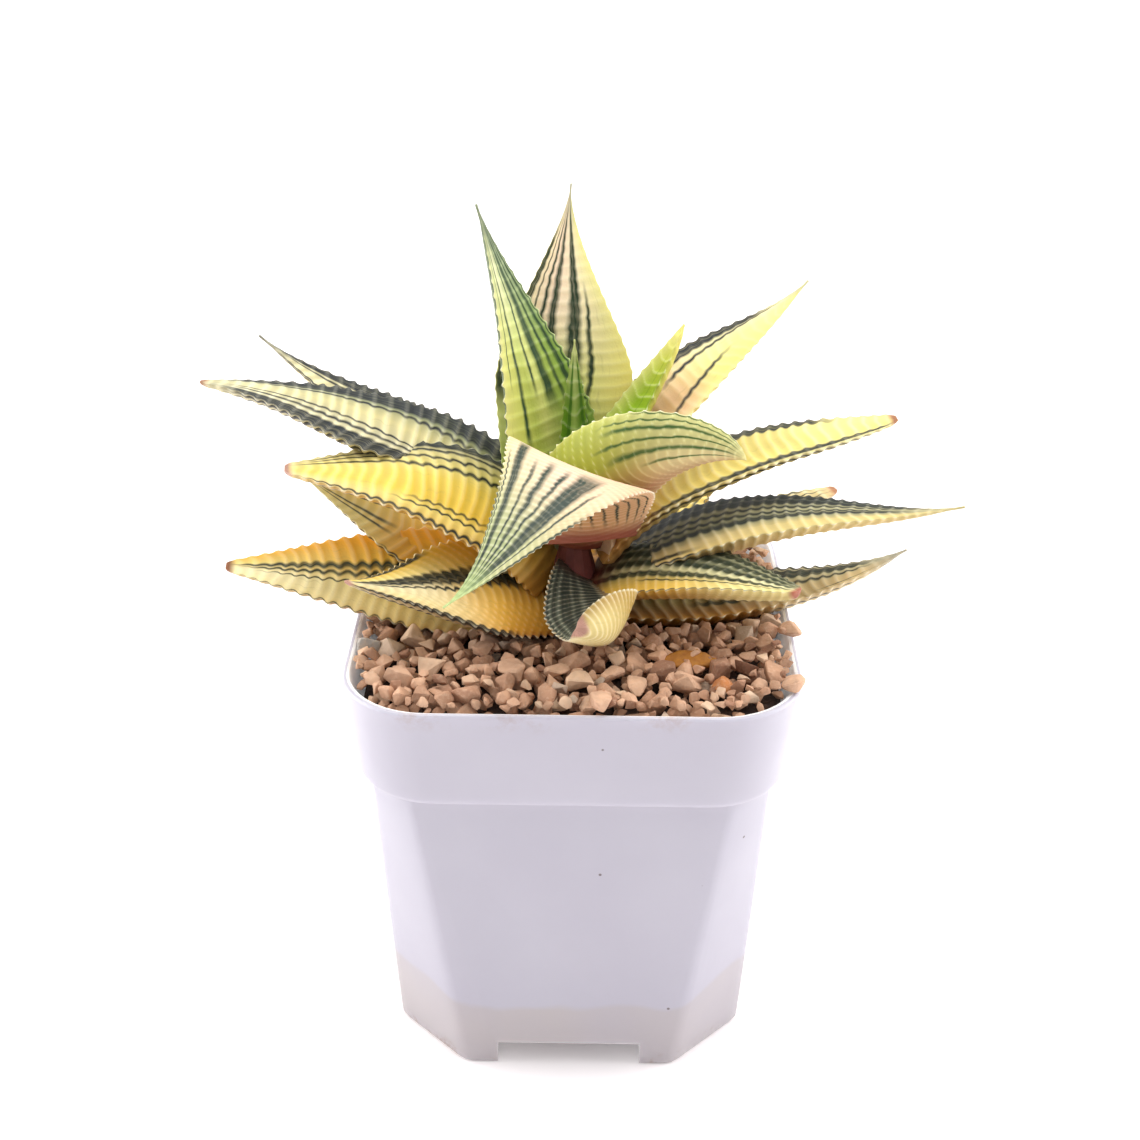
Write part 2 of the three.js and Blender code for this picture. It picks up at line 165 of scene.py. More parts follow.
# Up the outside, over the lip and down the inside: height, half width, corner and its roundness.
POT_PROFILE = [
    (0, 28.3, 11.3, 0), (0.25, 28.75, 11.5, 0), (0.8, 29, 11.6, 0),
    (52, 31.05, 6.7, 0.3), (BAND_FOOT - 0.5, 31.2, 6.6, 0.3), (BAND_FOOT, 31.6, 8, 0.6),
    (BAND_FOOT + 0.1, 32.8, 12, 1), (BAND_FOOT + 0.4, 33.1, 12.3, 1),
    (BAND_FOOT + 1.1, 33.35, 12.4, 1), (69.8, 34.75, 13, 1), (70.6, 34.95, 13, 1),
    (71.2, POT_HALF, 13, 1), (POT_HEIGHT - 0.1, 34.8, 12.9, 1), (POT_HEIGHT, 34.4, 12.7, 1),
    (POT_HEIGHT - 0.15, 34, 12.5, 1), (70.9, 33.75, 12.3, 1), (57, 32, 11.7, 1),
    (55.4, 30.4, 8, 0.5), (53, 29.9, 6.1, 0.3), (WALL, 27.7, 11.1, 0),
]
CORNER_SHARES = [-0.1, 0, 0.1, 0.2, 0.3, 0.4, 0.5, 0.6, 0.7, 0.8, 0.9, 1, 1.1]
EDGE_SOFTENING = 0.025
MOULDED_ANGLE = radians(33)
CHANNEL_WIDTH, CHANNEL_HEIGHT, CHANNEL_REACH = 23.6, 4.6, 56.8
FOOT_GAP = 0.4
DRAIN_RADIUS, DRAIN_SPACING = 3, 18


def square_outline(height, half, corner, roundness):
    """A square with its corners chamfered (roundness 0) or rounded (1), as a list of points."""
    points = []
    for quarter in range(4):
        for share in CORNER_SHARES:
            if share < 0:
                x, y = 1, share
            elif share > 1:
                x, y = 1 - share, 1
            else:
                chamfer = Vector((1 - share, share))
                arc = Vector((cos(share * pi / 2), sin(share * pi / 2)))
                x, y = chamfer.lerp(arc, roundness)
            if share == 0:
                x -= EDGE_SOFTENING * (1 - roundness)
            if share == 1:
                y -= EDGE_SOFTENING * (1 - roundness)
            point = Vector((x * corner + half - corner, y * corner + half - corner, height))
            points.append(Matrix.Rotation(quarter * pi / 2, 3, "Z") @ point * MM)
    return points


def climb_profile(mesh, profile, outline):
    """Extrudes a ring from the first entry of a profile to the last and closes both ends."""
    count = len(outline(*profile[0]))
    ring = bmesh.ops.create_circle(mesh, segments=count, radius=1)["verts"]
    edges = mesh.edges[:]
    mesh.faces.new(ring)
    for vert, place in zip(ring, outline(*profile[0])):
        vert.co = place
    for entry in profile[1:]:
        order = {vert: i for i, vert in enumerate(ring)}
        made = bmesh.ops.extrude_edge_only(mesh, edges=edges)["geom"]
        edges = [item for item in made if isinstance(item, bmesh.types.BMEdge)]
        fresh = {item for item in made if isinstance(item, bmesh.types.BMVert)}
        raised = {}
        for edge in [edge for vert in fresh for edge in vert.link_edges]:
            for old, new in (edge.verts, reversed(edge.verts)):
                if old in order and new in fresh:
                    raised[order[old]] = new
        ring = [raised[i] for i in range(count)]
        edges = [edge for edge in edges if all(vert in fresh for vert in edge.verts)]
        for vert, place in zip(ring, outline(*entry)):
            vert.co = place
    mesh.faces.new(ring)
    bmesh.ops.recalc_face_normals(mesh, faces=mesh.faces)


def polypropylene():
    """Moulded white polypropylene: satin, a little see-through, bluish white. Hard water has left
    a beige film below a wavy line, and there are soil specks and brown dust on rim and foot.
    Its inside is painted whiter, as painted light."""
    material, tree, place = new_material("moulded_polypropylene")
    x, _, z = add(tree, "SeparateXYZ", [place]).outputs
    waves = add(tree, "TexNoise", {"Vector": place, "Scale": 1 / (14 * MM), "Detail": 2})
    tide = add(tree, "Math", [waves, 5 * MM, 10 * MM], operation="MULTIPLY_ADD")
    side = add(tree, "Math", [x], operation="ABSOLUTE")
    lift = add(tree, "MapRange", [side, 16 * MM, 28 * MM, 0, 3.5 * MM])
    line = add(tree, "Math", [tide, lift], operation="ADD")
    under = add(tree, "Math", [line, z], operation="SUBTRACT")
    film = add(tree, "MapRange", [under, -0.5 * MM, 0.6 * MM, 0, 0.62])
    stained = add(tree, "Mix", {0: film, 6: "#b8b6c1", 7: "#b4aaa4"}, data_type="RGBA")
    cloud = add(tree, "TexNoise", {"Vector": place, "Scale": 1 / (22 * MM), "Detail": 3})
    shade = add(tree, "MapRange", [cloud, 0.35, 0.65, 0, 0.35])
    clouded = add(tree, "Mix", {0: shade, 6: stained, 7: "#aeabb8"}, data_type="RGBA")
    # Dust in a band at the foot, and a thinner one round the lip.
    foot = add(tree, "MapRange", [z, 3.2 * MM, 0.2 * MM])
    lip = add(tree, "MapRange", [z, 68 * MM, POT_HEIGHT * MM, 0, 0.35])
    dusty = add(tree, "Math", [foot, lip], operation="MAXIMUM")
    crumbs = add(tree, "TexNoise", {
        "Vector": place, "Scale": 1 / (1.1 * MM), "Detail": 6, "Roughness": 0.7})
    patches = add(tree, "TexNoise", {"Vector": place, "Scale": 1 / (8 * MM), "Detail": 2})
    thick = add(tree, "Math", [crumbs, patches], operation="MULTIPLY")
    dust = add(tree, "MapRange", [thick, 0.27, 0.42, 0, 0.9])
    dusted = add(tree, "Math", [dust, dusty], operation="MULTIPLY")
    browned = add(tree, "Mix", {0: dusted, 6: clouded, 7: "#9a7a64"}, data_type="RGBA")
    # Single dark specks of soil, about half a millimetre across and a centimetre apart.
    cells = add(tree, "TexVoronoi", {"Vector": place, "Scale": 1 / (5.5 * MM)})
    near = add(tree, "MapRange", [cells, 0.055, 0.035])
    pick = add(tree, "SeparateColor", [cells.outputs["Color"]])
    chosen = add(tree, "Math", [pick, 0.72], operation="GREATER_THAN")
    speck = add(tree, "Math", [near, chosen], operation="MULTIPLY")
    colour = add(tree, "Mix", {0: speck, 6: browned, 7: "#6f6668"}, data_type="RGBA")
    # The inside is painted whiter than the outside: painted light, standing for the light that also
    # comes through the thin wall.
    facing = add(tree, "TexCoord").outputs["Normal"]
    inward = add(tree, "VectorMath", [facing, place], operation="DOT_PRODUCT")
    upright = add(tree, "SeparateXYZ", [facing]).outputs[2]
    rise = add(tree, "Math", [upright, z], operation="MULTIPLY")
    level = add(tree, "Math", [inward, rise], operation="SUBTRACT")
    inside = add(tree, "MapRange", [level, 0, -2 * MM])
    painted_light_inside = add(tree, "Mix", {0: inside, 6: colour, 7: "#ffffff"}, data_type="RGBA")
    gloss = add(tree, "MapRange", [cloud, 0.3, 0.7, 0.32, 0.44])
    rough = add(tree, "Math", [dusted, 0.4, gloss], operation="MULTIPLY_ADD")
    ripple = add(tree, "TexNoise", {"Vector": place, "Scale": 1 / (9 * MM), "Detail": 3})
    height = add(tree, "Math", [dusted, 0.3, ripple], operation="MULTIPLY_ADD")
    bump = add(tree, "Bump", {"Height": height, "Distance": 0.12 * MM, "Strength": 0.35})
    shader = add(tree, "BsdfPrincipled", {
        "Base Color": painted_light_inside, "Roughness": rough, "Normal": bump, "IOR": 1.49,
        "Subsurface Weight": 0.5, "Subsurface Radius": (1, 1, 1), "Subsurface Scale": 2.5 * MM})
    add(tree, "OutputMaterial", [shader])
    return material


def tool(shape, place, size):
    """A solid that a boolean adds to the pot or takes out of it."""
    mesh = bmesh.new()
    if shape == "box":
        bmesh.ops.create_cube(mesh, size=1)
    else:
        bmesh.ops.create_cone(mesh, cap_ends=True, segments=24, radius1=1, radius2=1, depth=1)
    bmesh.ops.scale(mesh, vec=Vector(size) * MM, verts=mesh.verts)
    bmesh.ops.translate(mesh, vec=Vector(place) * MM, verts=mesh.verts)
    data = bpy.data.meshes.new("tool")
    mesh.to_mesh(data)
    mesh.free()
    return bpy.data.objects.new("tool", data)


def shape_with(piece, steps):
    """Adds or takes away each tool in turn and keeps the result as the piece's mesh."""
    for solid, operation in steps:
        scene.collection.objects.link(solid)
        step = piece.modifiers.new("step", "BOOLEAN")
        step.object = solid
        step.operation = operation
        step.solver = "EXACT"
    graph = bpy.context.evaluated_depsgraph_get()
    finished = bpy.data.meshes.new_from_object(piece.evaluated_get(graph))
    piece.modifiers.clear()
    piece.data = finished
    for solid, operation in steps:
        bpy.data.objects.remove(solid)


def foot_channels(skin, reach):
    """The two boxes that cross under the pot, thicker than the channels by a skin."""
    width = CHANNEL_WIDTH + 2 * skin
    top = CHANNEL_HEIGHT + skin
    bottom = FOOT_GAP if skin else -CHANNEL_HEIGHT
    middle = (0, 0, (top + bottom) / 2)
    tall = top - bottom
    return [tool("box", middle, (reach, width, tall)), tool("box", middle, (width, reach, tall))]


pot_mesh = bmesh.new()
climb_profile(pot_mesh, POT_PROFILE, square_outline)
pot = new_piece("nursery_pot", pot_mesh, polypropylene())
holes = [
    tool("rod", (x * DRAIN_SPACING, y * DRAIN_SPACING, CHANNEL_HEIGHT), (DRAIN_RADIUS, DRAIN_RADIUS, 6))
    for x, y in ((0, 0), (1, 0), (-1, 0), (0, 1), (0, -1))
]
shape_with(
    pot,
    [(box, "UNION") for box in foot_channels(WALL, CHANNEL_REACH)]
    + [(box, "DIFFERENCE") for box in foot_channels(0, 3 * POT_HALF)]
    + [(hole, "DIFFERENCE") for hole in holes],
)
pot.data.set_sharp_from_angle(angle=MOULDED_ANGLE)
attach(pot, "root")
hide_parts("pot")


# ---- Stem and roots ----
# A stub of woody stem carries every leaf, and thick fleshy roots go down from it into the mix.
# Both are hidden by the leaves and the mix, so their fixed solids only get a living surface.

def fleshy_skin(name, pale, deep, grain):
    """Plant tissue without wax: matt, with fine streaks along it from a pale to a deep colour."""
    material, tree, place = new_material(name)
    long = add(tree, "Mapping", {0: place, "Scale": (1, 1, 0.25)})
    streaks = add(tree, "TexNoise", {"Vector": long, "Scale": 1 / (grain * MM), "Detail": 4})
    colour = add(tree, "Mix", {0: streaks, 6: pale, 7: deep}, data_type="RGBA")
    bump = add(tree, "Bump", {"Height": streaks, "Distance": 0.2 * MM, "Strength": 0.5})
    shader = add(tree, "BsdfPrincipled", {"Base Color": colour, "Roughness": 0.65, "Normal": bump})
    add(tree, "OutputMaterial", [shader])
    return material


root_skin = fleshy_skin("root_skin", "#e2d7bb", "#a98d68", 0.8)
stem_skin = fleshy_skin("stem_bark", "#94504a", "#5a2a28", 1.2)
for node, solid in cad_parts.items():
    if node == "stem" or node.startswith("root_"):
        solid.material_slots[0].material = stem_skin if node == "stem" else root_skin


# ---- Leaves ----
# Thick, hard succulent leaves, crossed by raised ridges that end in teeth at both margins.
# Each one is a closed tube with many rings, laid along the leaf's own line and swollen to its
# width and thickness; the ridges, the teeth and the blunt tips are in the mesh.

# "heading" and "turn" are compass angles seen from above, anticlockwise from +X, "out" and "up"
# where the line starts, "rise", "fall", "bend" and "flick" how steeply it climbs, "widest" and
# "point" its outline, "cup" its hollow, "roll" and "twist" its tilt, "cut" a lost point's share.
LEAF_TERMS = (
    "heading", "turn", "out", "up", "rise", "fall", "bend", "flick", "length", "width", "thick",
    "widest", "point", "foot", "cup", "roll", "twist", "cut",
)
RINGS_A_RIDGE = 8
AROUND = 40
LEAST_HALF, LEAST_THICK = 0.14, 0.35
BLUNTING = 1.6
RIDGE_WANDER, GIRTH_SWELL = 0.45, 0.05

LIME, YOUNG = "#9db63a", "#6f9426"
LEMON, CREAM, IVORY = "#f2e07c", "#ecdfb0", "#f3ecc6"
GOLD, HONEY, STRAW = "#dfa02c", "#d6b256", "#d9c98a"
BLUSH, OLIVE, SAGE = "#eac4a2", "#a09a66", "#8c9674"
GREEN, CHARCOAL, HORN = "#2f3d28", "#2a2f31", "#efe8cc"
SCAR, ROSE, DRY = "#c08a62", "#e0b4a4", "#8c5a3c"


def swelling(s, widest, point, foot):
    """How a width opens from the foot and closes to the tip, as a share of its largest."""
    opening = foot + (1 - foot) * sin(pi / 2 * min(s / widest, 1))
    closing = max(0, (s - widest) / (1 - widest))
    return opening * (1 - closing ** 1.5) ** point


def leaf_stations(leaf, count):
    """The leaf's place, directions, half width and thickness at evenly spaced rings."""
    def climb(s):
        change = leaf["fall"] - leaf["rise"]
        return radians(leaf["rise"] + change * s ** leaf["bend"] + leaf["flick"] * s ** 4)

    def bearing(s):
        return radians(leaf["heading"] + leaf["turn"] * s)

    def forward(s):
        up, side = climb(s), bearing(s)
        return Vector((cos(up) * cos(side), cos(up) * sin(side), sin(up)))

    side = radians(leaf["heading"])
    place = Vector((leaf["out"] * cos(side), leaf["out"] * sin(side), leaf["up"]))
    step = leaf["cut"] / count
    stations = []
    for ring in range(count + 1):
        s = ring * step
        if ring:
            place = place + forward(s - step / 2) * leaf["length"] * step
        up, side = climb(s), bearing(s)
        ahead = forward(s)
        upright = Vector((-sin(up) * cos(side), -sin(up) * sin(side), cos(up)))
        tilt = radians(leaf["roll"] + (leaf["twist"] - leaf["roll"]) * s)
        upright = Matrix.Rotation(tilt, 3, ahead) @ upright
        half = leaf["width"] / 2 * swelling(s, leaf["widest"], leaf["point"], leaf["foot"])
        thick = leaf["thick"] * swelling(s, 0.3, leaf["point"] * 0.8, 0.8)
        stations.append((s, place, ahead.cross(upright), upright, half, thick))
    return stations


def leaf_mesh(leaf, ridges, seed, tuck):
    """Bends a ringed tube into the leaf, with girth 0 at its left margin, 0.25 along the middle
    of its upper face, 0.5 at its right margin and 0.75 along its keel. Where a neighbour presses
    on it, tuck narrows its left half: the share along the leaf, how far that reaches, how much."""
    spacing, height, bow, tooth, keen = ridges
    count = ceil(leaf["length"] * leaf["cut"] / spacing * RINGS_A_RIDGE)
    mesh = bmesh.new()
    bmesh.ops.create_cone(mesh, cap_ends=True, segments=AROUND, radius1=1, radius2=1, depth=1)
    lengthwise = [e for e in mesh.edges if abs(e.verts[0].co.z - e.verts[1].co.z) > 0.5]
    bmesh.ops.subdivide_edges(mesh, edges=lengthwise, cuts=count - 1, use_grid_fill=True)
    bmesh.ops.poke(mesh, faces=[face for face in mesh.faces if len(face.verts) > 4])
    girth_of = mesh.verts.layers.float.new("girth")
    along_of = mesh.verts.layers.float.new("along")
    ridge_of = mesh.verts.layers.float.new("ridge")
    stations = leaf_stations(leaf, count)
    end = leaf["cut"] * leaf["length"]
    for vert in mesh.verts:
        s, place, sideways, upright, half, thick = stations[round((vert.co.z + 0.5) * count)]
        girth = atan2(vert.co.y, -vert.co.x) / (2 * pi) % 1
        middle = vert.co.xy.length < 0.5
        around = 2 * pi * girth
        across, lift = -cos(around), sin(around)
        travelled = s * leaf["length"]
        narrow = min(1, half / (0.3 * leaf["width"]))
        wave = noise.noise(Vector((across * 1.3, travelled / 9, seed)))
        phase = (travelled - bow * across ** 2 * narrow) / spacing + RIDGE_WANDER * wave
        crest = (0.5 + 0.5 * cos(2 * pi * phase)) ** keen
        strength = narrow * min(1, travelled / 4)
        edge = max(0, (abs(across) - 0.8) / 0.2)
        swell = 1 + GIRTH_SWELL * noise.noise(Vector((travelled / 11, seed, across)))
        half = max(LEAST_HALF, half * swell)
        thick = max(LEAST_THICK, thick)
        if leaf["cut"] < 1:
            left = max(0, min(1, (end - travelled) / BLUNTING))
            dome = sqrt(1 - (1 - left) ** 2)
            half *= 0.55 + 0.45 * dome
            thick *= 0.6 + 0.4 * dome
        hollow = -leaf["cup"] * half * (1 - across ** 2)
        if lift >= 0:
            level = hollow + 0.12 * thick * sqrt(max(0, 1 - across ** 2))
        else:
            level = hollow - thick * (1 - min(1, abs(across)) ** 1.7) ** 0.75
        out = height * (crest - 0.35) * strength
        reach = across * (half + out * abs(across) + tooth * crest * edge * strength)
        if across < 0:
            reach *= 1 - tuck[2] * exp(-((s - tuck[0]) / tuck[1]) ** 2)
        if middle:
            reach, level = 0, -0.35 * thick
        vert.co = (place + sideways * reach + upright * (level + out * lift)) * MM
        vert[girth_of], vert[along_of], vert[ridge_of] = girth, s, crest
    uv = mesh.loops.layers.uv.new("leaf")
    for face in mesh.faces:
        turns = [loop.vert[girth_of] for loop in face.loops]
        for loop in face.loops:
            turn = loop.vert[girth_of]
            loop[uv].uv = (turn + 1 if max(turns) - turn > 0.5 else turn, loop.vert[along_of])
    bmesh.ops.recalc_face_normals(mesh, faces=mesh.faces)
    return mesh


def stripe(tree, girth, along, shape):
    """How much of a stripe covers a point. It stays at one girth, or runs from one to another,
    between two shares of the leaf's length, so wide, with soft ends."""
    *girths, width, start, stop = shape
    middle = add(tree, "MapRange", [along, start, stop, girths[0], girths[-1]])
    off = add(tree, "Math", [girth, middle], operation="SUBTRACT")
    round_off = add(tree, "Math", [off, 0.5, -0.5], operation="WRAP")
    distance = add(tree, "Math", [round_off], operation="ABSOLUTE")
    soft = min(0.008, width * 0.3)
    body = add(tree, "MapRange", [distance, width / 2 + soft, width / 2 - soft])
    begin = add(tree, "MapRange", [along, start - 0.02, start + 0.05])
    end = add(tree, "MapRange", [along, stop + 0.02, stop - 0.06])
    ends = add(tree, "Math", [begin, end], operation="MULTIPLY")
    return add(tree, "Math", [body, ends], operation="MULTIPLY")


def leaf_skin(name, low, high, change, stripes, dark=GREEN, tip=(SAGE, 0.88), scar=None,
              foot=None, crest=0.3, jag=0.003, lines=HORN, valley=0.88):
    """The waxy skin of a variegated leaf. Its ground colour goes from low near the foot to high
    further out, with soft ends at change; its ramps round the girth also hold painted shade, darker
    where the underside and the margins turn from the light. Dark stripes run lengthwise over it,
    jagged where they cross the ridges, whose crests and teeth are pale and horny. The valleys
    between the ridges get painted shade. Towards the foot the colour turns to the foot colour: the
    base's own tint and, where that is dark, painted shade deep in the crown."""
    material, tree, place = new_material(name)
    round_it, along, _ = add(tree, "SeparateXYZ", [add(tree, "UVMap", uv_map="leaf")]).outputs
    ridge = add(tree, "Attribute", attribute_name="ridge").outputs["Fac"]
    wobble = add(tree, "TexNoise", {"Vector": place, "Scale": 1 / (3.5 * MM), "Detail": 3})
    shift = add(tree, "Math", [wobble, 0.024, -0.012], operation="MULTIPLY_ADD")
    wavy = add(tree, "Math", [ridge, jag, shift], operation="MULTIPLY_ADD")
    moved = add(tree, "Math", [round_it, wavy], operation="ADD")
    girth = add(tree, "Math", [moved, 1, 0], operation="WRAP")

    # The ramps round the girth hold the leaf's own colours and painted shade: where the underside and
    # the margins turn from the light, they are painted darker and browner.
    outward = add(tree, "MapRange", [along, *change], interpolation_type="SMOOTHSTEP")
    near = add(tree, "ValToRGB", [girth], stops=low)
    far = add(tree, "ValToRGB", [girth], stops=high)
    ground = add(tree, "Mix", {0: outward, 6: near, 7: far}, data_type="RGBA")
    # Lengthwise threads a third of a millimetre wide run through both the pale and the dark tissue.
    across = add(tree, "Math", [girth, 90], operation="MULTIPLY")
    drawn = add(tree, "Math", [along, 9], operation="MULTIPLY")
    thread = add(tree, "CombineXYZ", [across, drawn])
    streak = add(tree, "TexNoise", {"Vector": thread, "Scale": 1, "Detail": 3})
    faint = add(tree, "MapRange", [streak, 0.58, 0.72, 0, 0.22])
    threaded = add(tree, "Mix", {0: faint, 6: ground, 7: OLIVE}, data_type="RGBA")
    cover = 0
    for shape in stripes:
        cover = add(tree, "Math", [cover, stripe(tree, girth, along, shape)], operation="MAXIMUM")
    thin = add(tree, "MapRange", [streak, 0.45, 0.7, 1, 0.78])
    covered = add(tree, "Math", [cover, thin], operation="MULTIPLY")
    striped = add(tree, "Mix", {0: covered, 6: threaded, 7: dark}, data_type="RGBA")
    # The ridges' crests and the teeth are pale and horny, less so where a dark stripe crosses.
    bare = add(tree, "MapRange", [covered, 0, 1, 1, 0.3])
    worn = add(tree, "MapRange", [ridge, 0.5, 0.95, 0, crest])
    top = add(tree, "Math", [worn, bare], operation="MULTIPLY")
    crested = add(tree, "Mix", {0: top, 6: striped, 7: lines}, data_type="RGBA")
    margin = add(tree, "Math", [round_it, 0.25], operation="PINGPONG")
    close = add(tree, "MapRange", [margin, 0.028, 0.008])
    toothed = add(tree, "MapRange", [ridge, 0.1, 0.8, 0.15, 0.85])
    sharp = add(tree, "Math", [close, toothed], operation="MULTIPLY")
    horn = add(tree, "Math", [sharp, bare], operation="MULTIPLY")
    colour = add(tree, "Mix", {0: horn, 6: crested, 7: HORN}, data_type="RGBA")
    tipped = add(tree, "MapRange", [along, tip[1], min(1, tip[1] + 0.12), 0, 0.8])
    colour = add(tree, "Mix", {0: tipped, 6: colour, 7: tip[0]}, data_type="RGBA")
    # Towards the foot the colour turns to the foot colour: the base's own tint and, on the dark ones,
    # painted shade deep in the crown.
    if foot:
        foot_tint_and_shade = add(tree, "MapRange", [along, foot[1], foot[1] * 0.3, 0, 0.85])
        colour = add(tree, "Mix", {0: foot_tint_and_shade, 6: colour, 7: foot[0]}, data_type="RGBA")
    if scar:
        ragged = add(tree, "Math", [wobble, 0.02, along], operation="MULTIPLY_ADD")
        corky = add(tree, "MapRange", [ragged, scar[1] - 0.004, scar[1] + 0.012])
        brown = add(tree, "Mix", {0: streak, 6: scar[0], 7: DRY}, data_type="RGBA")
        colour = add(tree, "Mix", {0: corky, 6: colour, 7: brown}, data_type="RGBA")
    # A slow unevenness, centimetres long, like that of a grown thing, times painted shade that darkens
    # the valleys between the ridges.
    cloud = add(tree, "TexNoise", {"Vector": place, "Scale": 1 / (7 * MM), "Detail": 2})
    slow = add(tree, "MapRange", [cloud, 0.3, 0.7, 0.88, 1.03])
    hollow = add(tree, "MapRange", [ridge, 0, 0.6, valley])
    light = add(tree, "Math", [slow, hollow], operation="MULTIPLY")
    uneven_and_shaded = add(tree, "HueSaturation", {"Value": light, "Color": colour})
    waxy = add(tree, "MapRange", [streak, 0.3, 0.7, 0.42, 0.58])
    pores = add(tree, "TexNoise", {"Vector": place, "Scale": 1 / (0.35 * MM), "Detail": 2})
    fine = add(tree, "Math", [streak, 0.6, pores], operation="MULTIPLY_ADD")
    bump = add(tree, "Bump", {"Height": fine, "Distance": 0.08 * MM, "Strength": 0.4})
    shader = add(tree, "BsdfPrincipled", {
        "Base Color": uneven_and_shaded, "Roughness": waxy, "Normal": bump, "IOR": 1.45,
        "Specular IOR Level": 0.3, "Subsurface Weight": 0.08,
        "Subsurface Radius": (1, 0.8, 0.35), "Subsurface Scale": 1.6 * MM})
    add(tree, "OutputMaterial", [shader])
    return material


grown = []


def grow_leaf(name, line, ridges, slot=None, tuck=(0.5, 1, 0), **skin):
    """Makes one leaf, gives it its skin, and hides its solid."""
    leaf = dict(zip(LEAF_TERMS, line))
    piece = new_piece(f"{name}_blade", leaf_mesh(leaf, ridges, len(grown) * 3.7, tuck),
                      leaf_skin(f"{name}_skin", **skin))
    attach(piece, "root")
    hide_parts(name)
    grown.append(piece)


# ---- Heart leaves ----
# The three youngest leaves, upright in the crown. They are still lime green, and the third one
# already arches out to the right, with its striped underside up.

grow_leaf(
    "heart_leaf_1",
    (95, 0, 1, 90, 80, 88, 1, 0, 26, 4.5, 2.4, 0.3, 1, 0.8, 0.25, 0, 0, 1),
    ridges=(2.4, 0.12, 0.5, 0.15, 3),
    low=[(0, YOUNG), (0.15, "#5f8d1c"), (0.26, "#a3bd62"), (0.34, "#5c8a1e"), (0.6, YOUNG)],
    high=[(0, "#a2b75a"), (0.26, "#bccb80"), (0.5, "#8fa846"), (0.9, "#a2b75a")],
    change=(0.5, 0.95), stripes=[(0.18, 0.2, 0.05, 0.3, 0.9), (0.4, 0.36, 0.06, 0.3, 0.9)],
    dark="#47741c", tip=("#c6cc86", 0.85), foot=(LIME, 0.3), crest=0.2,
)
grow_leaf(
    "heart_leaf_2",
    (24, -4, 1, 91, 63, 47, 1, 13, 31.5, 9, 3, 0.26, 0.8, 0.8, 0.2, 11, 0, 1),
    ridges=(2.3, 0.12, 1.2, 0.28, 4),
    low=[(0, "#dfe09a"), (0.1, "#cfd76c"), (0.25, "#8fb41e"), (0.5, "#86ab1c"), (0.62, "#cfd76c")],
    high=[(0, "#e8e39c"), (0.12, "#d9d768"), (0.3, "#c2c43a"), (0.5, "#b4bb36"), (0.65, "#dfd978")],
    change=(0.5, 0.9), stripes=[(0.45, 0.42, 0.012, 0.3, 0.8), (0.3, 0.01, 0.4, 0.85)],
    dark="#7f9f2a", tip=("#e3da7c", 0.8), foot=("#86ae20", 0.5), crest=0.4, lines="#e6e9a6",
)
grow_leaf(
    "heart_leaf_3",
    (313, 47, -2, 85, 64, -21, 1.6, -16, 39, 16.5, 3.6, 0.4, 0.85, 0.8, 0.25, -64, -79, 1),
    ridges=(1.6, 0.1, 3.0, 0.22, 4),
    low=[(0, "#c9a27a"), (0.3, LIME), (0.47, "#dfdc86"), (0.56, "#b0b848"), (0.7, "#a2aa3e"),
         (0.78, "#b49a54"), (0.88, "#b8785c"), (0.97, "#c9a27a")],
    high=[(0, "#d9b890"), (0.3, "#dcd97c"), (0.46, "#ece3a2"), (0.56, "#d2d08a"), (0.68, "#ccc482"),
          (0.78, "#e3cf98"), (0.88, "#d9b58a"), (0.97, "#d2a57c")],
    change=(0.4, 0.75),
    stripes=[(0.53, 0.54, 0.018, 0.6, 0.98), (0.575, 0.585, 0.01, 0.5, 0.95),
             (0.61, 0.62, 0.016, 0.5, 0.96), (0.655, 0.665, 0.01, 0.45, 0.96),
             (0.7, 0.715, 0.018, 0.48, 0.97), (0.75, 0.765, 0.01, 0.6, 0.95),
             (0.46, 0.48, 0.03, 0.62, 0.85), (0.2, 0.05, 0.3, 0.9), (0.35, 0.05, 0.3, 0.9)],
    dark="#456430", tip=("#d8cc86", 0.93), foot=("#8a3c36", 0.07), crest=0.36, lines="#e6e9b4",
)


# ---- Inner leaves ----
# The four tall leaves round the heart. The first one arches over towards the front and hangs
# down over its neighbours, finely ridged.

grow_leaf(
    "inner_leaf_1",
    (285, -73, 4.5, 85.5, 111, -101, 0.85, 79, 57, 23, 4.2, 0.28, 1.4, 0.75, 0.1, -14, -21, 1),
    ridges=(1.25, 0.1, 3.5, 0.28, 1.6),
    low=[(0, "#e8bc96"), (0.08, "#f0cba6"), (0.25, "#f0cfb2"), (0.42, "#f2dcb0"), (0.5, "#efd498"),
         (0.62, "#e6bc84"), (0.8, "#dca878"), (0.95, "#e4b68c")],
    high=[(0, "#cfc894"), (0.1, "#cac792"), (0.25, "#b4bc88"), (0.34, "#b8bf8a"), (0.45, "#b8c28a"),
          (0.5, "#b8c488"), (0.75, STRAW), (0.95, "#c9c696")],
    change=(0.45, 0.8),
    stripes=[(0.185, 0.205, 0.062, 0.42, 0.98), (0.125, 0.15, 0.012, 0.5, 0.92),
             (0.245, 0.255, 0.012, 0.45, 0.92), (0.29, 0.285, 0.02, 0.44, 0.95),
             (0.33, 0.32, 0.012, 0.48, 0.92), (0.39, 0.38, 0.038, 0.38, 0.98),
             (0.44, 0.43, 0.012, 0.5, 0.93), (0.48, 0.045, 0.62, 0.97), (0.03, 0.06, 0.05, 0.6, 0.98),
             (0.97, 0.98, 0.03, 0.55, 0.9)]
    + [(girth / 100, 0.007, 0.08, 0.62) for girth in range(58, 97, 3)],
    dark="#38443a", tip=("#b4cc86", 0.84), foot=("#8c3a34", 0.09), crest=0.26,
)
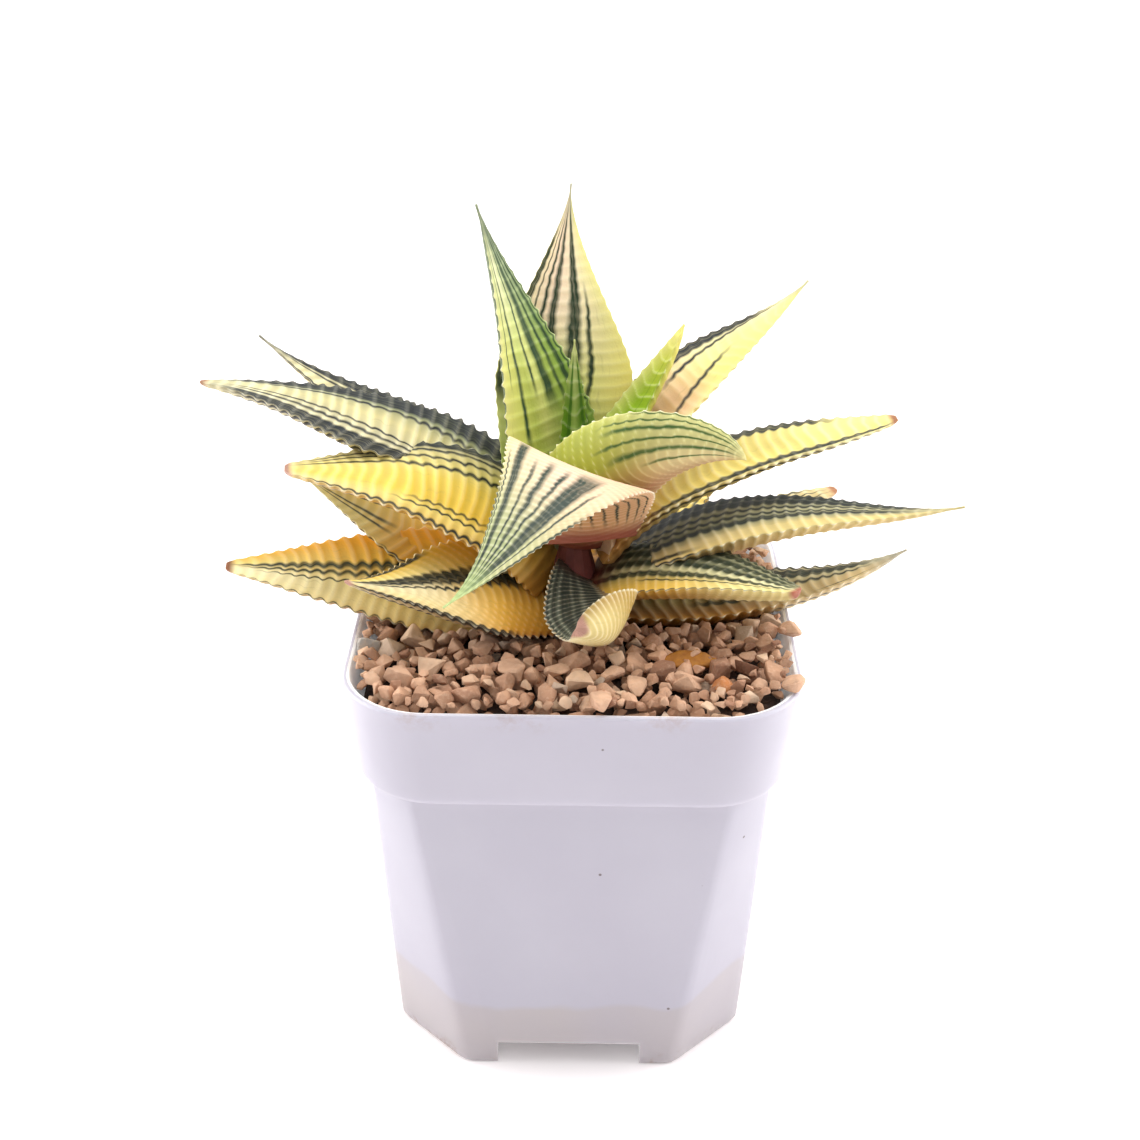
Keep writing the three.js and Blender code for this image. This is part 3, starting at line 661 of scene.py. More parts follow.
grow_leaf(
    "inner_leaf_2",
    (135, 18, 2, 82, 88, 48, 0.95, 23, 56, 18, 4.2, 0.28, 1.35, 0.7, 0.25, -19, 0, 1),
    ridges=(2.3, 0.13, 1.2, 0.4, 3.4),
    low=[(0, "#dfd98e"), (0.08, "#dcda7c"), (0.16, "#d4d76c"), (0.22, "#c6d264"), (0.26, "#e0e384"),
         (0.32, "#a9bf56"), (0.4, "#86a842"), (0.5, "#86a546"), (0.7, "#5e7d34"), (0.92, "#8ca04c")],
    high=[(0, "#d9d7a0"), (0.1, "#c7cd92"), (0.2, "#e2e2b2"), (0.25, "#b7c08a"), (0.32, "#95a47a"),
          (0.42, "#8fa07a"), (0.5, "#a5b184"), (0.7, SAGE), (0.92, "#8b9a72")],
    change=(0.5, 0.85),
    stripes=[(0.185, 0.17, 0.018, 0.3, 0.96), (0.245, 0.26, 0.012, 0.45, 0.95), (0.3, 0.036, 0.4, 0.97),
             (0.35, 0.345, 0.016, 0.4, 0.95), (0.4, 0.03, 0.3, 0.97), (0.45, 0.022, 0.35, 0.95),
             (0.12, 0.01, 0.5, 0.9), (0.95, 0.96, 0.05, 0.3, 0.97), (0.86, 0.88, 0.05, 0.2, 0.9),
             (0.75, 0.77, 0.05, 0.2, 0.95), (0.64, 0.05, 0.2, 0.95)],
    dark="#2f4a2a", tip=("#66745a", 0.82), foot=("#a9c044", 0.34), crest=0.16, lines="#dce2a8",
)
grow_leaf(
    "inner_leaf_3",
    (105, -25, 3, 81, 75, 65, 1, -3, 58, 22, 4, 0.46, 1.7, 0.75, 0.1, 0, 5, 1),
    ridges=(1.95, 0.1, 0.8, 0.08, 1.6),
    low=[(0, "#c9cf7c"), (0.15, "#e3e29a"), (0.25, "#d9df84"), (0.33, "#ece48c"), (0.42, "#f4e884"),
         (0.52, "#f6ea80"), (0.65, STRAW), (0.85, "#d9cf90")],
    high=[(0, "#efe0a8"), (0.08, "#f8e6b8"), (0.2, "#fbe0c0"), (0.3, "#fbecc4"), (0.4, "#f9efa8"),
          (0.52, "#faf08c"), (0.65, CREAM), (0.85, STRAW)],
    change=(0.4, 0.68),
    stripes=[(0.06, 0.07, 0.07, 0.4, 0.9), (0.125, 0.14, 0.01, 0.5, 0.92),
             (0.165, 0.18, 0.016, 0.4, 0.93), (0.2, 0.225, 0.028, 0.3, 0.96),
             (0.24, 0.315, 0.042, 0.12, 0.97), (0.275, 0.345, 0.013, 0.15, 0.72),
             (0.97, 0.04, 0.3, 0.9), (0.88, 0.03, 0.2, 0.9), (0.8, 0.05, 0.1, 0.92),
             (0.72, 0.03, 0.2, 0.9), (0.62, 0.03, 0.2, 0.85)],
    dark="#2a3c26", tip=("#7c856a", 0.87), foot=("#8fb034", 0.42), crest=0.1, valley=0.95,
)
grow_leaf(
    "inner_leaf_4",
    (24, -3, 3, 81.5, 92, -13, 0.9, 59, 57.5, 16.5, 4, 0.38, 1.3, 0.7, 0.15, 4, 16, 1),
    ridges=(2.0, 0.12, 1.0, 0.4, 1.8),
    low=[(0, "#d9c79a"), (0.12, "#ecd3a6"), (0.28, "#efc49a"), (0.42, "#efc896"), (0.5, "#f0d890"),
         (0.7, STRAW), (0.9, CREAM)],
    high=[(0, "#e2d8a8"), (0.12, "#efe4b0"), (0.22, "#f2e796"), (0.4, "#f5ec84"), (0.5, "#f4ea92"),
          (0.7, IVORY), (0.9, CREAM)],
    change=(0.5, 0.68),
    stripes=[(0.2, 0.1, 0.018, 0.5, 0.93), (0.36, 0.26, 0.022, 0.44, 0.72),
             (0.06, 0.03, 0.17, 0.25, 0.88), (0.94, 0.95, 0.05, 0.3, 0.9), (0.84, 0.86, 0.03, 0.3, 0.9),
             (0.74, 0.04, 0.2, 0.92), (0.64, 0.03, 0.3, 0.85)],
    dark=CHARCOAL, tip=("#a6a58a", 0.9), foot=(BLUSH, 0.5), crest=0.1, valley=0.95,
)


# ---- Middle leaves ----
# Seven grown leaves that spread over the rim, thick and stiff, with tall ridges and broad dark
# stripes. The old ones have lost their points and end in a blunt, corky scar.

grow_leaf(
    "middle_leaf_1",
    (286, -36, 2.5, 79, 4, 25, 1.1, -18, 32, 14, 6, 0.48, 0.9, 0.6, 0.2, -39, 80, 0.92),
    ridges=(1.3, 0.14, 3.0, 0.3, 2),
    low=[(0, HONEY), (0.14, "#b08a54"), (0.22, "#5c6356"), (0.48, "#586054"), (0.54, "#c69a5e"),
         (0.7, STRAW), (0.9, HONEY)],
    high=[(0, "#b99a56"), (0.14, "#c9a866"), (0.22, "#666e60"), (0.48, "#606a5a"), (0.54, CREAM),
          (0.7, "#e2d08e"), (0.86, "#dcc680"), (0.95, "#b99a56")],
    change=(0.3, 0.8),
    stripes=[(0.24, 0.06, 0.05, 0.97), (0.3, 0.03, 0.0, 0.95), (0.35, 0.34, 0.05, 0.05, 0.9),
             (0.41, 0.4, 0.03, 0.0, 0.95), (0.46, 0.04, 0.1, 0.9)],
    dark="#2d352e", tip=("#c9bd8c", 0.9), scar=(ROSE, 0.91), foot=("#3f2a22", 0.14), crest=0.4,
)
grow_leaf(
    "middle_leaf_2",
    (330, -6, 3, 77, 40, -12, 0.7, 19, 41, 14, 5, 0.4, 0.8, 0.75, 0.05, 23, -10, 0.94),
    ridges=(1.8, 0.18, 3.0, 0.4, 2.2),
    low=[(0, "#6c6f54"), (0.25, "#74765a"), (0.29, "#cfc894"), (0.34, "#c2ac60"), (0.4, "#e2bc54"),
         (0.48, "#e8bc4c"), (0.6, "#b98a3c"), (0.8, "#c29a48"), (0.95, "#7c7858")],
    high=[(0, "#8c8a6c"), (0.24, "#94946e"), (0.28, "#e2dca8"), (0.37, "#e0d08a"), (0.5, "#ecdc94"),
          (0.62, "#cdb878"), (0.8, STRAW), (0.95, "#a8a07c")],
    change=(0.4, 0.8),
    stripes=[(0.02, 0.03, 0.07, 0.0, 0.93), (0.1, 0.11, 0.055, 0.0, 0.93),
             (0.17, 0.18, 0.045, 0.0, 0.92), (0.235, 0.24, 0.038, 0.0, 0.93),
             (0.31, 0.315, 0.04, 0.0, 0.94), (0.36, 0.365, 0.012, 0.3, 0.9),
             (0.5, 0.49, 0.025, 0.2, 0.93), (0.96, 0.05, 0.0, 0.8), (0.72, 0.03, 0.1, 0.9)],
    dark="#2c3626", tip=("#b9ab7c", 0.9), scar=("#c0705c", 0.93), foot=("#6e2a20", 0.16), crest=0.2,
)
grow_leaf(
    "middle_leaf_3",
    (189, -1, 3, 77.5, 71, -23, 0.8, 32, 53.5, 19.5, 5.2, 0.4, 1.05, 0.7, 0.05, -39, -1, 0.93),
    ridges=(2.2, 0.26, 1.6, 0.45, 1.5),
    low=[(0, "#c99a3c"), (0.07, "#dcb95e"), (0.13, "#ecd270"), (0.19, "#f2cc4a"), (0.28, "#f2d25a"),
         (0.33, "#f0dc80"), (0.42, "#dccf92"), (0.5, "#8f9478"), (0.75, STRAW), (0.92, "#c2923a")],
    high=[(0, "#d9bb74"), (0.1, "#eed98e"), (0.2, "#f1d766"), (0.3, "#f0dc7c"), (0.4, "#e6d48c"),
          (0.5, "#d9cd98"), (0.75, STRAW), (0.92, "#d2b26a")],
    change=(0.5, 0.9),
    stripes=[(0.06, 0.034, 0.2, 0.9), (0.145, 0.14, 0.011, 0.3, 0.62), (0.175, 0.17, 0.01, 0.3, 0.58),
             (0.325, 0.33, 0.014, 0.2, 0.92), (0.365, 0.37, 0.012, 0.3, 0.88),
             (0.405, 0.41, 0.016, 0.25, 0.9), (0.46, 0.07, 0.2, 0.66), (0.9, 0.02, 0.2, 0.9),
             (0.8, 0.04, 0.1, 0.9), (0.68, 0.03, 0.1, 0.9), (0.58, 0.04, 0.1, 0.8)],
    dark="#2a302a", tip=("#e0cfa0", 0.86), scar=(ROSE, 0.917), foot=("#b98a3c", 0.25), crest=0.14,
    valley=0.82, jag=0.015,
)
grow_leaf(
    "middle_leaf_4",
    (170, 9, 3, 79, 52, 3, 0.9, -2, 68, 19.5, 4.8, 0.32, 1, 0.7, 0.05, -42, 9, 0.96),
    ridges=(2.2, 0.36, 1.4, 0.5, 1.6), tuck=(0.4, 0.14, 0.6),
    low=[(0, "#ddd3a4"), (0.12, CREAM), (0.2, "#e2d9ae"), (0.3, "#eee0a0"), (0.38, "#9aa078"),
         (0.5, "#aeb08e"), (0.7, STRAW), (0.92, "#d2c694")],
    high=[(0, "#d5d0b0"), (0.15, "#dcd5ae"), (0.3, "#e5dba4"), (0.4, "#c9c8a4"), (0.5, "#cfcdb0"),
          (0.7, STRAW), (0.92, "#cdc6a0")],
    change=(0.5, 0.9),
    stripes=[(0.45, 0.445, 0.14, 0.1, 0.92), (0.355, 0.36, 0.014, 0.3, 0.85),
             (0.235, 0.24, 0.013, 0.3, 0.92), (0.19, 0.2, 0.02, 0.35, 0.9),
             (0.09, 0.1, 0.12, 0.25, 0.93), (0.01, 0.02, 0.03, 0.2, 0.93), (0.94, 0.95, 0.06, 0.3, 0.9),
             (0.84, 0.07, 0.2, 0.9), (0.72, 0.05, 0.1, 0.9), (0.62, 0.07, 0.1, 0.85),
             (0.54, 0.03, 0.2, 0.9)],
    dark=CHARCOAL, tip=("#cfc79c", 0.86), scar=(SCAR, 0.950), foot=(OLIVE, 0.25), crest=0.26, jag=0.02,
    valley=0.76,
)
grow_leaf(
    "middle_leaf_5",
    (158, 9, 3, 79, 49, 5, 0.9, 34, 61, 16.5, 4.4, 0.36, 1.4, 0.7, 0.1, -22, 0, 1),
    ridges=(2.2, 0.34, 1.4, 0.5, 1.6),
    low=[(0, CREAM), (0.3, "#e8dda8"), (0.5, "#a7ac8a"), (0.75, STRAW)],
    high=[(0, "#cfc9a2"), (0.2, "#eadfa8"), (0.3, "#d2c99c"), (0.5, "#b7b798"), (0.75, STRAW)],
    change=(0.5, 0.9),
    stripes=[(0.44, 0.43, 0.2, 0.2, 0.98), (0.29, 0.03, 0.5, 0.93), (0.06, 0.07, 0.5, 0.97),
             (0.95, 0.07, 0.3, 0.95), (0.82, 0.05, 0.2, 0.95), (0.7, 0.06, 0.2, 0.95),
             (0.6, 0.05, 0.2, 0.95)],
    dark=CHARCOAL, tip=("#6c7070", 0.86), crest=0.24, jag=0.02, valley=0.76,
)
grow_leaf(
    "middle_leaf_6",
    (11, -4, 4, 81, 68, -13, 0.6, 29, 57, 13.5, 4, 0.4, 0.85, 0.7, 0, -3, 11, 0.95),
    ridges=(2.1, 0.26, 1.2, 0.4, 1.5),
    low=[(0, "#d9c078"), (0.2, "#f1dd7e"), (0.38, "#f0da76"), (0.5, "#dcc680"), (0.7, "#d2bc78"),
         (0.92, STRAW)],
    high=[(0, "#ecdc8e"), (0.2, "#f6e892"), (0.36, "#f3e284"), (0.48, "#e2d79c"), (0.7, STRAW),
          (0.92, "#e2cf84")],
    change=(0.4, 0.8),
    stripes=[(0.455, 0.41, 0.05, 0.15, 0.96), (0.07, 0.05, 0.17, 0.15, 0.78), (0.93, 0.08, 0.3, 0.9),
             (0.56, 0.57, 0.04, 0.0, 0.9), (0.8, 0.05, 0.1, 0.9), (0.68, 0.04, 0.1, 0.9)],
    dark="#2e342d", tip=("#ecd890", 0.9), scar=(SCAR, 0.936), foot=("#c88c48", 0.24), crest=0.24,
    jag=0.016,
)
grow_leaf(
    "middle_leaf_7",
    (356, -4, 3, 76, 42, -35, 1.15, 52, 61.5, 15.5, 5, 0.32, 1.4, 0.7, 0.05, 5, 2, 1),
    ridges=(2.0, 0.22, 1.6, 0.4, 2.0),
    low=[(0, "#3e433c"), (0.14, "#4c5046"), (0.2, "#a8a078"), (0.3, "#7c7c5c"), (0.36, "#c9b47c"),
         (0.45, "#d9c07a"), (0.6, "#c9a468"), (0.75, "#c2a870"), (0.95, "#555a4c")],
    high=[(0, "#4a4f48"), (0.15, "#5c6052"), (0.2, "#b4ae84"), (0.3, "#a09c76"), (0.36, "#e0ca84"),
          (0.5, "#e0cc84"), (0.62, "#cdb06c"), (0.8, STRAW), (0.95, "#6a6e60")],
    change=(0.35, 0.6),
    stripes=[(0.04, 0.05, 0.14, 0.1, 0.95), (0.145, 0.155, 0.045, 0.05, 0.92),
             (0.21, 0.2, 0.022, 0.1, 0.86), (0.25, 0.245, 0.02, 0.15, 0.86),
             (0.31, 0.27, 0.034, 0.0, 0.86), (0.38, 0.42, 0.035, 0.0, 0.32),
             (0.44, 0.5, 0.045, 0.0, 0.36), (0.5, 0.56, 0.03, 0.0, 0.34), (0.95, 0.08, 0.2, 0.86),
             (0.84, 0.05, 0.1, 0.86), (0.72, 0.05, 0.1, 0.86)],
    dark="#292f2a", tip=("#c6b988", 0.84), foot=("#6d6a4c", 0.12), crest=0.2,
)


# ---- Outer leaves ----
# The oldest leaves, lowest on the stem. They rest on the gravel and the rim, and fade from green
# to gold and orange towards the foot.

grow_leaf(
    "outer_leaf_1",
    (215, -4, 3, 74.5, 25, 3, 0.9, 28, 42.5, 20, 5.4, 0.38, 1.7, 0.7, 0.05, -38, 1, 0.93),
    ridges=(1.75, 0.2, 5.0, 0.45, 1.6),
    low=[(0, "#b87a3a"), (0.08, "#e0a840"), (0.2, "#eaba50"), (0.3, "#ecc65c"), (0.4, "#f0ab2c"),
         (0.5, "#f0a426"), (0.75, "#a8742c"), (0.95, "#84522e")],
    high=[(0, "#d2b880"), (0.12, "#e8d59a"), (0.25, "#eadcae"), (0.35, "#f4dc84"), (0.43, "#f0c64c"),
          (0.5, "#e6c25c"), (0.75, STRAW), (0.95, "#b49a70")],
    change=(0.3, 0.62),
    stripes=[(0.29, 0.295, 0.06, 0.15, 0.93), (0.24, 0.25, 0.014, 0.4, 0.85),
             (0.455, 0.45, 0.06, 0.52, 0.9), (0.03, 0.06, 0.3, 0.95), (0.97, 0.06, 0.2, 0.95),
             (0.86, 0.04, 0.1, 0.9), (0.7, 0.05, 0.1, 0.9), (0.57, 0.04, 0.3, 0.9)],
    dark="#2b302a", tip=("#ddd2a8", 0.88), scar=(ROSE, 0.910), foot=("#7c4420", 0.14), crest=0.18,
    jag=0.016,
)
grow_leaf(
    "outer_leaf_2",
    (170, -4, 3, 74, 11, 32, 1, -2, 47.5, 17, 4.6, 0.36, 1.5, 0.7, 0.05, -4, -6, 0.97),
    ridges=(2.0, 0.2, 1.5, 0.35, 1.4),
    low=[(0, "#e0a82c"), (0.2, "#e6a822"), (0.4, "#dfae40"), (0.75, HONEY)],
    high=[(0, "#eedc9c"), (0.15, "#ecd98e"), (0.3, "#dcc070"), (0.4, "#d9b858"), (0.75, STRAW)],
    change=(0.5, 0.75),
    stripes=[(0.2, 0.022, 0.6, 0.92), (0.26, 0.265, 0.026, 0.6, 0.94), (0.02, 0.06, 0.3, 0.62),
             (0.42, 0.04, 0.4, 0.95), (0.94, 0.04, 0.3, 0.9), (0.82, 0.05, 0.2, 0.9),
             (0.68, 0.05, 0.2, 0.9)],
    dark="#343a2c", tip=("#dccfa0", 0.86), foot=("#c07c2c", 0.2), crest=0.16, jag=0.009,
)
grow_leaf(
    "outer_leaf_3",
    (186, -1, 3, 73.5, 14, -1, 0.95, 7, 56.5, 19.5, 5.2, 0.38, 1.05, 0.7, 0.05, -42, -5, 0.94),
    ridges=(2.2, 0.24, 2.0, 0.4, 1.4),
    low=[(0, "#dcb468"), (0.1, "#f4dc94"), (0.2, "#f2dc90"), (0.3, "#f2be48"), (0.4, "#f4a92a"),
         (0.5, "#ee9f20"), (0.75, "#b07a34"), (0.95, "#a2703c")],
    high=[(0, "#eeda9c"), (0.1, "#f8eab0"), (0.2, "#f4e8b8"), (0.32, "#f4d77a"), (0.42, "#f6bf4a"),
          (0.5, "#f4b43c"), (0.75, HONEY), (0.95, "#c9ac70")],
    change=(0.45, 0.9),
    stripes=[(0.25, 0.02, 0.36, 0.9), (0.29, 0.285, 0.03, 0.3, 0.94), (0.21, 0.01, 0.5, 0.85),
             (0.03, 0.03, 0.4, 0.92), (0.9, 0.04, 0.2, 0.9), (0.8, 0.03, 0.1, 0.9),
             (0.64, 0.04, 0.1, 0.9)],
    dark="#383e2e", tip=("#ead69c", 0.88), scar=(DRY, 0.928), foot=("#b9742c", 0.2), crest=0.16,
    jag=0.022,
)
grow_leaf(
    "outer_leaf_4",
    (21, -1, 3, 75, 18, 9, 1, -1, 48.5, 14, 4.6, 0.36, 1, 0.7, 0.05, 0, 1, 0.93),
    ridges=(2.2, 0.26, 1.5, 0.45, 1.6),
    low=[(0, STRAW), (0.3, HONEY), (0.5, "#c9963c"), (0.75, HONEY)],
    high=[(0, "#e2d3a0"), (0.25, "#dcc68c"), (0.5, "#d9bd84"), (0.75, STRAW)],
    change=(0.4, 0.8),
    stripes=[(0.1, 0.05, 0.1, 0.85), (0.2, 0.02, 0.1, 0.9), (0.3, 0.03, 0.1, 0.9),
             (0.4, 0.06, 0.1, 0.85), (0.62, 0.04, 0.1, 0.9), (0.75, 0.04, 0.1, 0.9),
             (0.88, 0.05, 0.1, 0.9)],
    dark="#33382d", tip=("#d9b893", 0.86), scar=(SCAR, 0.915), foot=("#a8642c", 0.2), jag=0.009,
)
grow_leaf(
    "outer_leaf_5",
    (2, 0, 3, 73, 0, 12, 1.05, 19, 52, 14, 4.8, 0.36, 1.1, 0.7, 0.05, 7, 0, 1),
    ridges=(2.1, 0.26, 1.5, 0.5, 1.8),
    low=[(0, "#a8a07c"), (0.25, OLIVE), (0.4, "#9c7444"), (0.5, "#c48c34"), (0.62, "#b98438"),
         (0.8, HONEY)],
    high=[(0, "#d9cda8"), (0.2, "#c2b88c"), (0.32, "#d9bf88"), (0.5, "#dcc088"), (0.62, "#cdb684"),
          (0.8, STRAW)],
    change=(0.42, 0.65),
    stripes=[(0.14, 0.16, 0.1, 0.2, 0.9), (0.25, 0.26, 0.03, 0.3, 0.88), (0.04, 0.05, 0.08, 0.3, 0.9),
             (0.34, 0.03, 0.3, 0.6), (0.6, 0.025, 0.55, 0.86), (0.42, 0.012, 0.7, 0.9),
             (0.74, 0.05, 0.1, 0.9), (0.87, 0.05, 0.1, 0.9)],
    dark="#30362a", tip=("#a7a596", 0.84), foot=("#7c4a28", 0.15), crest=0.2, jag=0.009,
)


# ---- Back leaves ----
# Two tiers of shorter leaves that close the rosette at the back. Their stripes are drawn at
# random, about as wide and as far apart as on the outer leaves.

BACK_TIERS = {
    "upper": (50, 27, 4, (75.5, 18, 4, 1, 10, 39.2)),
    "lower": (64, 27, 3, (73.5, 12, 2, 1, 8, 38)),
}
BACK_OUTLINE = (15, 4.6, 0.36, 1.1, 0.7, 0.05, 0, 0, 1)
back_random = random.Random(7)
number = len([piece for piece in grown if piece.name.startswith("outer_leaf")]) + 1
for first, step, count, climb in BACK_TIERS.values():
    for i in range(count):
        tints = [(0, STRAW), (0.25, LEMON), (0.5, HONEY), (0.75, STRAW)]
        stripes = []
        girth = 0.04
        while girth < 0.97:
            width = back_random.uniform(0.012, 0.06)
            stripes.append((girth, width, 0.1, back_random.uniform(0.8, 0.95)))
            girth += width + back_random.uniform(0.03, 0.08)
        grow_leaf(
            f"outer_leaf_{number}", (first + i * step, 0, 3, *climb, *BACK_OUTLINE),
            ridges=(2.2, 0.26, 1.5, 0.45, 1.6), slot="back_leaf", low=[(g, GOLD) for g, _ in tints],
            high=tints, change=(0.2, 0.7), stripes=stripes, dark="#343a2e",
            tip=("#b9b08c", 0.85), foot=("#a8642c", 0.2), jag=0.009,
        )
        number += 1


# ---- Potting mix ----
# Dark, fibrous peat and bark, filled in round the roots up to just under the gravel. Its body is
# hidden in the pot and keeps its fixed solid; a lumpy surface shows between the granules.

PEAT_STOPS = [(0.3, "#1d1512"), (0.52, "#3b2a22"), (0.72, "#6d5140")]
SOIL_TOP = 68.2
SOIL_WIDTH, SOIL_DEPTH, SOIL_CORNER = 63, 2.5, 9
SOIL_LUMP, SOIL_RELIEF = 2.2, 0.7


def peat(name):
    """Moist peat, nearly black, with paler fibres on its lumps."""
    material, tree, place = new_material(name)
    lumps = add(tree, "TexNoise", {
        "Vector": place, "Scale": 1 / (2.5 * MM), "Detail": 6, "Roughness": 0.7})
    colour = add(tree, "ValToRGB", [lumps], stops=PEAT_STOPS)
    bump = add(tree, "Bump", {"Height": lumps, "Distance": MM, "Strength": 0.9})
    shader = add(tree, "BsdfPrincipled", {"Base Color": colour, "Roughness": 0.95, "Normal": bump})
    add(tree, "OutputMaterial", [shader])
    return material


mix = peat("damp_peat")
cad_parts["potting_mix"].material_slots[0].material = mix

soil_mesh = bmesh.new()
bmesh.ops.create_cube(soil_mesh, size=1)
soil_size = Vector((SOIL_WIDTH, SOIL_WIDTH, SOIL_DEPTH)) * MM
bmesh.ops.scale(soil_mesh, vec=soil_size, verts=soil_mesh.verts)
upright = [e for e in soil_mesh.edges if abs(e.verts[0].co.z - e.verts[1].co.z) > MM]
bmesh.ops.bevel(soil_mesh, geom=upright, offset=SOIL_CORNER * MM, segments=5, profile=0.5,
                affect="EDGES", material=-1)
lid = [face for face in soil_mesh.faces if face.normal.z > 0.9]
bmesh.ops.triangulate(soil_mesh, faces=lid)
for _ in range(5):
    top_edges = [e for e in soil_mesh.edges if all(v.co.z > MM for v in e.verts)]
    bmesh.ops.subdivide_edges(soil_mesh, edges=top_edges, cuts=1, use_grid_fill=True)
for vert in soil_mesh.verts:
    if vert.co.z > 0:
        vert.co.z += SOIL_RELIEF * MM * noise.noise(vert.co / (SOIL_LUMP * MM))
    vert.co.z += (SOIL_TOP - SOIL_DEPTH / 2) * MM
soil = new_piece("soil_surface", soil_mesh, mix)
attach(soil, "root")
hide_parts("top_dressing")


# ---- Gravel ----
# Broken, tumbled granules of baked clay, 2 to 7 mm, laid two deep up to the rim. Each one is the
# hull of a few scattered corners with its edges worn off, turned and tinted at random.

GRANULE_CORNERS = 12
WORN_SHARE = 0.06
CHIPPED_ANGLE = radians(28)


def granule(mesh, place, size, turn, tint, random_source):
    """Adds one broken granule to the mesh: the hull of a few scattered corners, its edges worn."""
    broken = bmesh.new()
    tint_of = broken.verts.layers.float.new("tint")
    for _ in range(GRANULE_CORNERS):
        away = Vector([random_source.gauss(0, 1) for _ in range(3)]).normalized()
        corner = away * random_source.uniform(0.85, 1.08)
        broken.verts.new([c * s / 2 for c, s in zip(corner, size)])
    hull = bmesh.ops.convex_hull(broken, input=broken.verts)
    left_over = hull["geom_interior"] + hull["geom_unused"]
    spare = {item for item in left_over if isinstance(item, bmesh.types.BMVert)}
    bmesh.ops.delete(broken, geom=list(spare), context="VERTS")
    bmesh.ops.bevel(broken, geom=broken.edges[:], offset=WORN_SHARE * min(size), segments=1,
                    profile=0.5, affect="EDGES", material=-1, clamp_overlap=True)
    bmesh.ops.recalc_face_normals(broken, faces=broken.faces)
    bmesh.ops.rotate(broken, verts=broken.verts, matrix=turn)
    bmesh.ops.translate(broken, verts=broken.verts, vec=place)
    bmesh.ops.scale(broken, verts=broken.verts, vec=(MM, MM, MM))
    for corner in broken.verts:
        corner[tint_of] = tint
    scratch = bpy.data.meshes.new("granule_scratch")
    broken.to_mesh(scratch)
    broken.free()
    mesh.from_mesh(scratch)
    bpy.data.meshes.remove(scratch)


def baked_clay(name, stops):
    """Porous baked clay: matt and sandy, with pale sandy flecks, a blotchy tone and pits in its bump.
    """
    material, tree, place = new_material(name)
    tint = add(tree, "Attribute", attribute_name="tint").outputs["Fac"]
    body = add(tree, "ValToRGB", [tint], stops=stops)
    sand = add(tree, "TexNoise", {
        "Vector": place, "Scale": 1 / (0.6 * MM), "Detail": 5, "Roughness": 0.65})
    pits = add(tree, "TexVoronoi", {"Vector": place, "Scale": 1 / (0.9 * MM)})
    blotch = add(tree, "TexNoise", {"Vector": place, "Scale": 1 / (3 * MM), "Detail": 2})
    pale = add(tree, "MapRange", [sand, 0.5, 0.75, 0, 0.45])
    dusty = add(tree, "Mix", {0: pale, 6: body, 7: "#dcc0a6"}, data_type="RGBA")
    shade = add(tree, "MapRange", [blotch, 0.35, 0.65, 0.82, 1.1])
    toned = add(tree, "HueSaturation", {"Value": shade, "Color": dusty})
    relief = add(tree, "Math", [pits, 0.4, sand], operation="MULTIPLY_ADD")
    bump = add(tree, "Bump", {"Height": relief, "Distance": 0.25 * MM, "Strength": 0.7})
    shader = add(tree, "BsdfPrincipled", {
        "Base Color": toned, "Roughness": 0.92, "Specular IOR Level": 0.25, "Normal": bump})
    add(tree, "OutputMaterial", [shader])
    return material


TAN_STOPS = [(0, "#956c56"), (0.15, "#b58b70"), (0.45, "#c59b7e"), (0.75, "#d1a98c"),
             (0.94, "#dcbc9e"), (1, "#ac9e92")]
clay = baked_clay("baked_clay_granules", TAN_STOPS)
BED_HALF = 33.8
BED_CORNER = 12
UNDER_LEAVES, OPEN_SKY = 60, 200
graph = bpy.context.evaluated_depsgraph_get()
leaf_trees = [BVHTree.FromObject(piece, graph) for piece in grown]


def inside_pot(x, y, margin):
    """Whether a point is inside the pot's rounded square mouth, clear of it by a margin."""
    half = BED_HALF - margin
    reach = max(0, abs(x) - (half - BED_CORNER)), max(0, abs(y) - (half - BED_CORNER))
    return hypot(*reach) < BED_CORNER


def headroom(x, y, radius):
    """The height of the lowest leaf over a granule, in millimetres."""
    lowest = OPEN_SKY
    for dx, dy in ((0, 0), (radius, 0), (-radius, 0), (0, radius), (0, -radius)):
        start = Vector((x + dx, y + dy, UNDER_LEAVES)) * MM
        for tree in leaf_trees:
            hit = tree.ray_cast(start, Vector((0, 0, 1)))[0]
            if hit:
                lowest = min(lowest, hit.z / MM)
    return lowest


gravel_random = random.Random(11)
gravel_mesh = bmesh.new()
gravel_mesh.verts.layers.float.new("tint")
laid = []
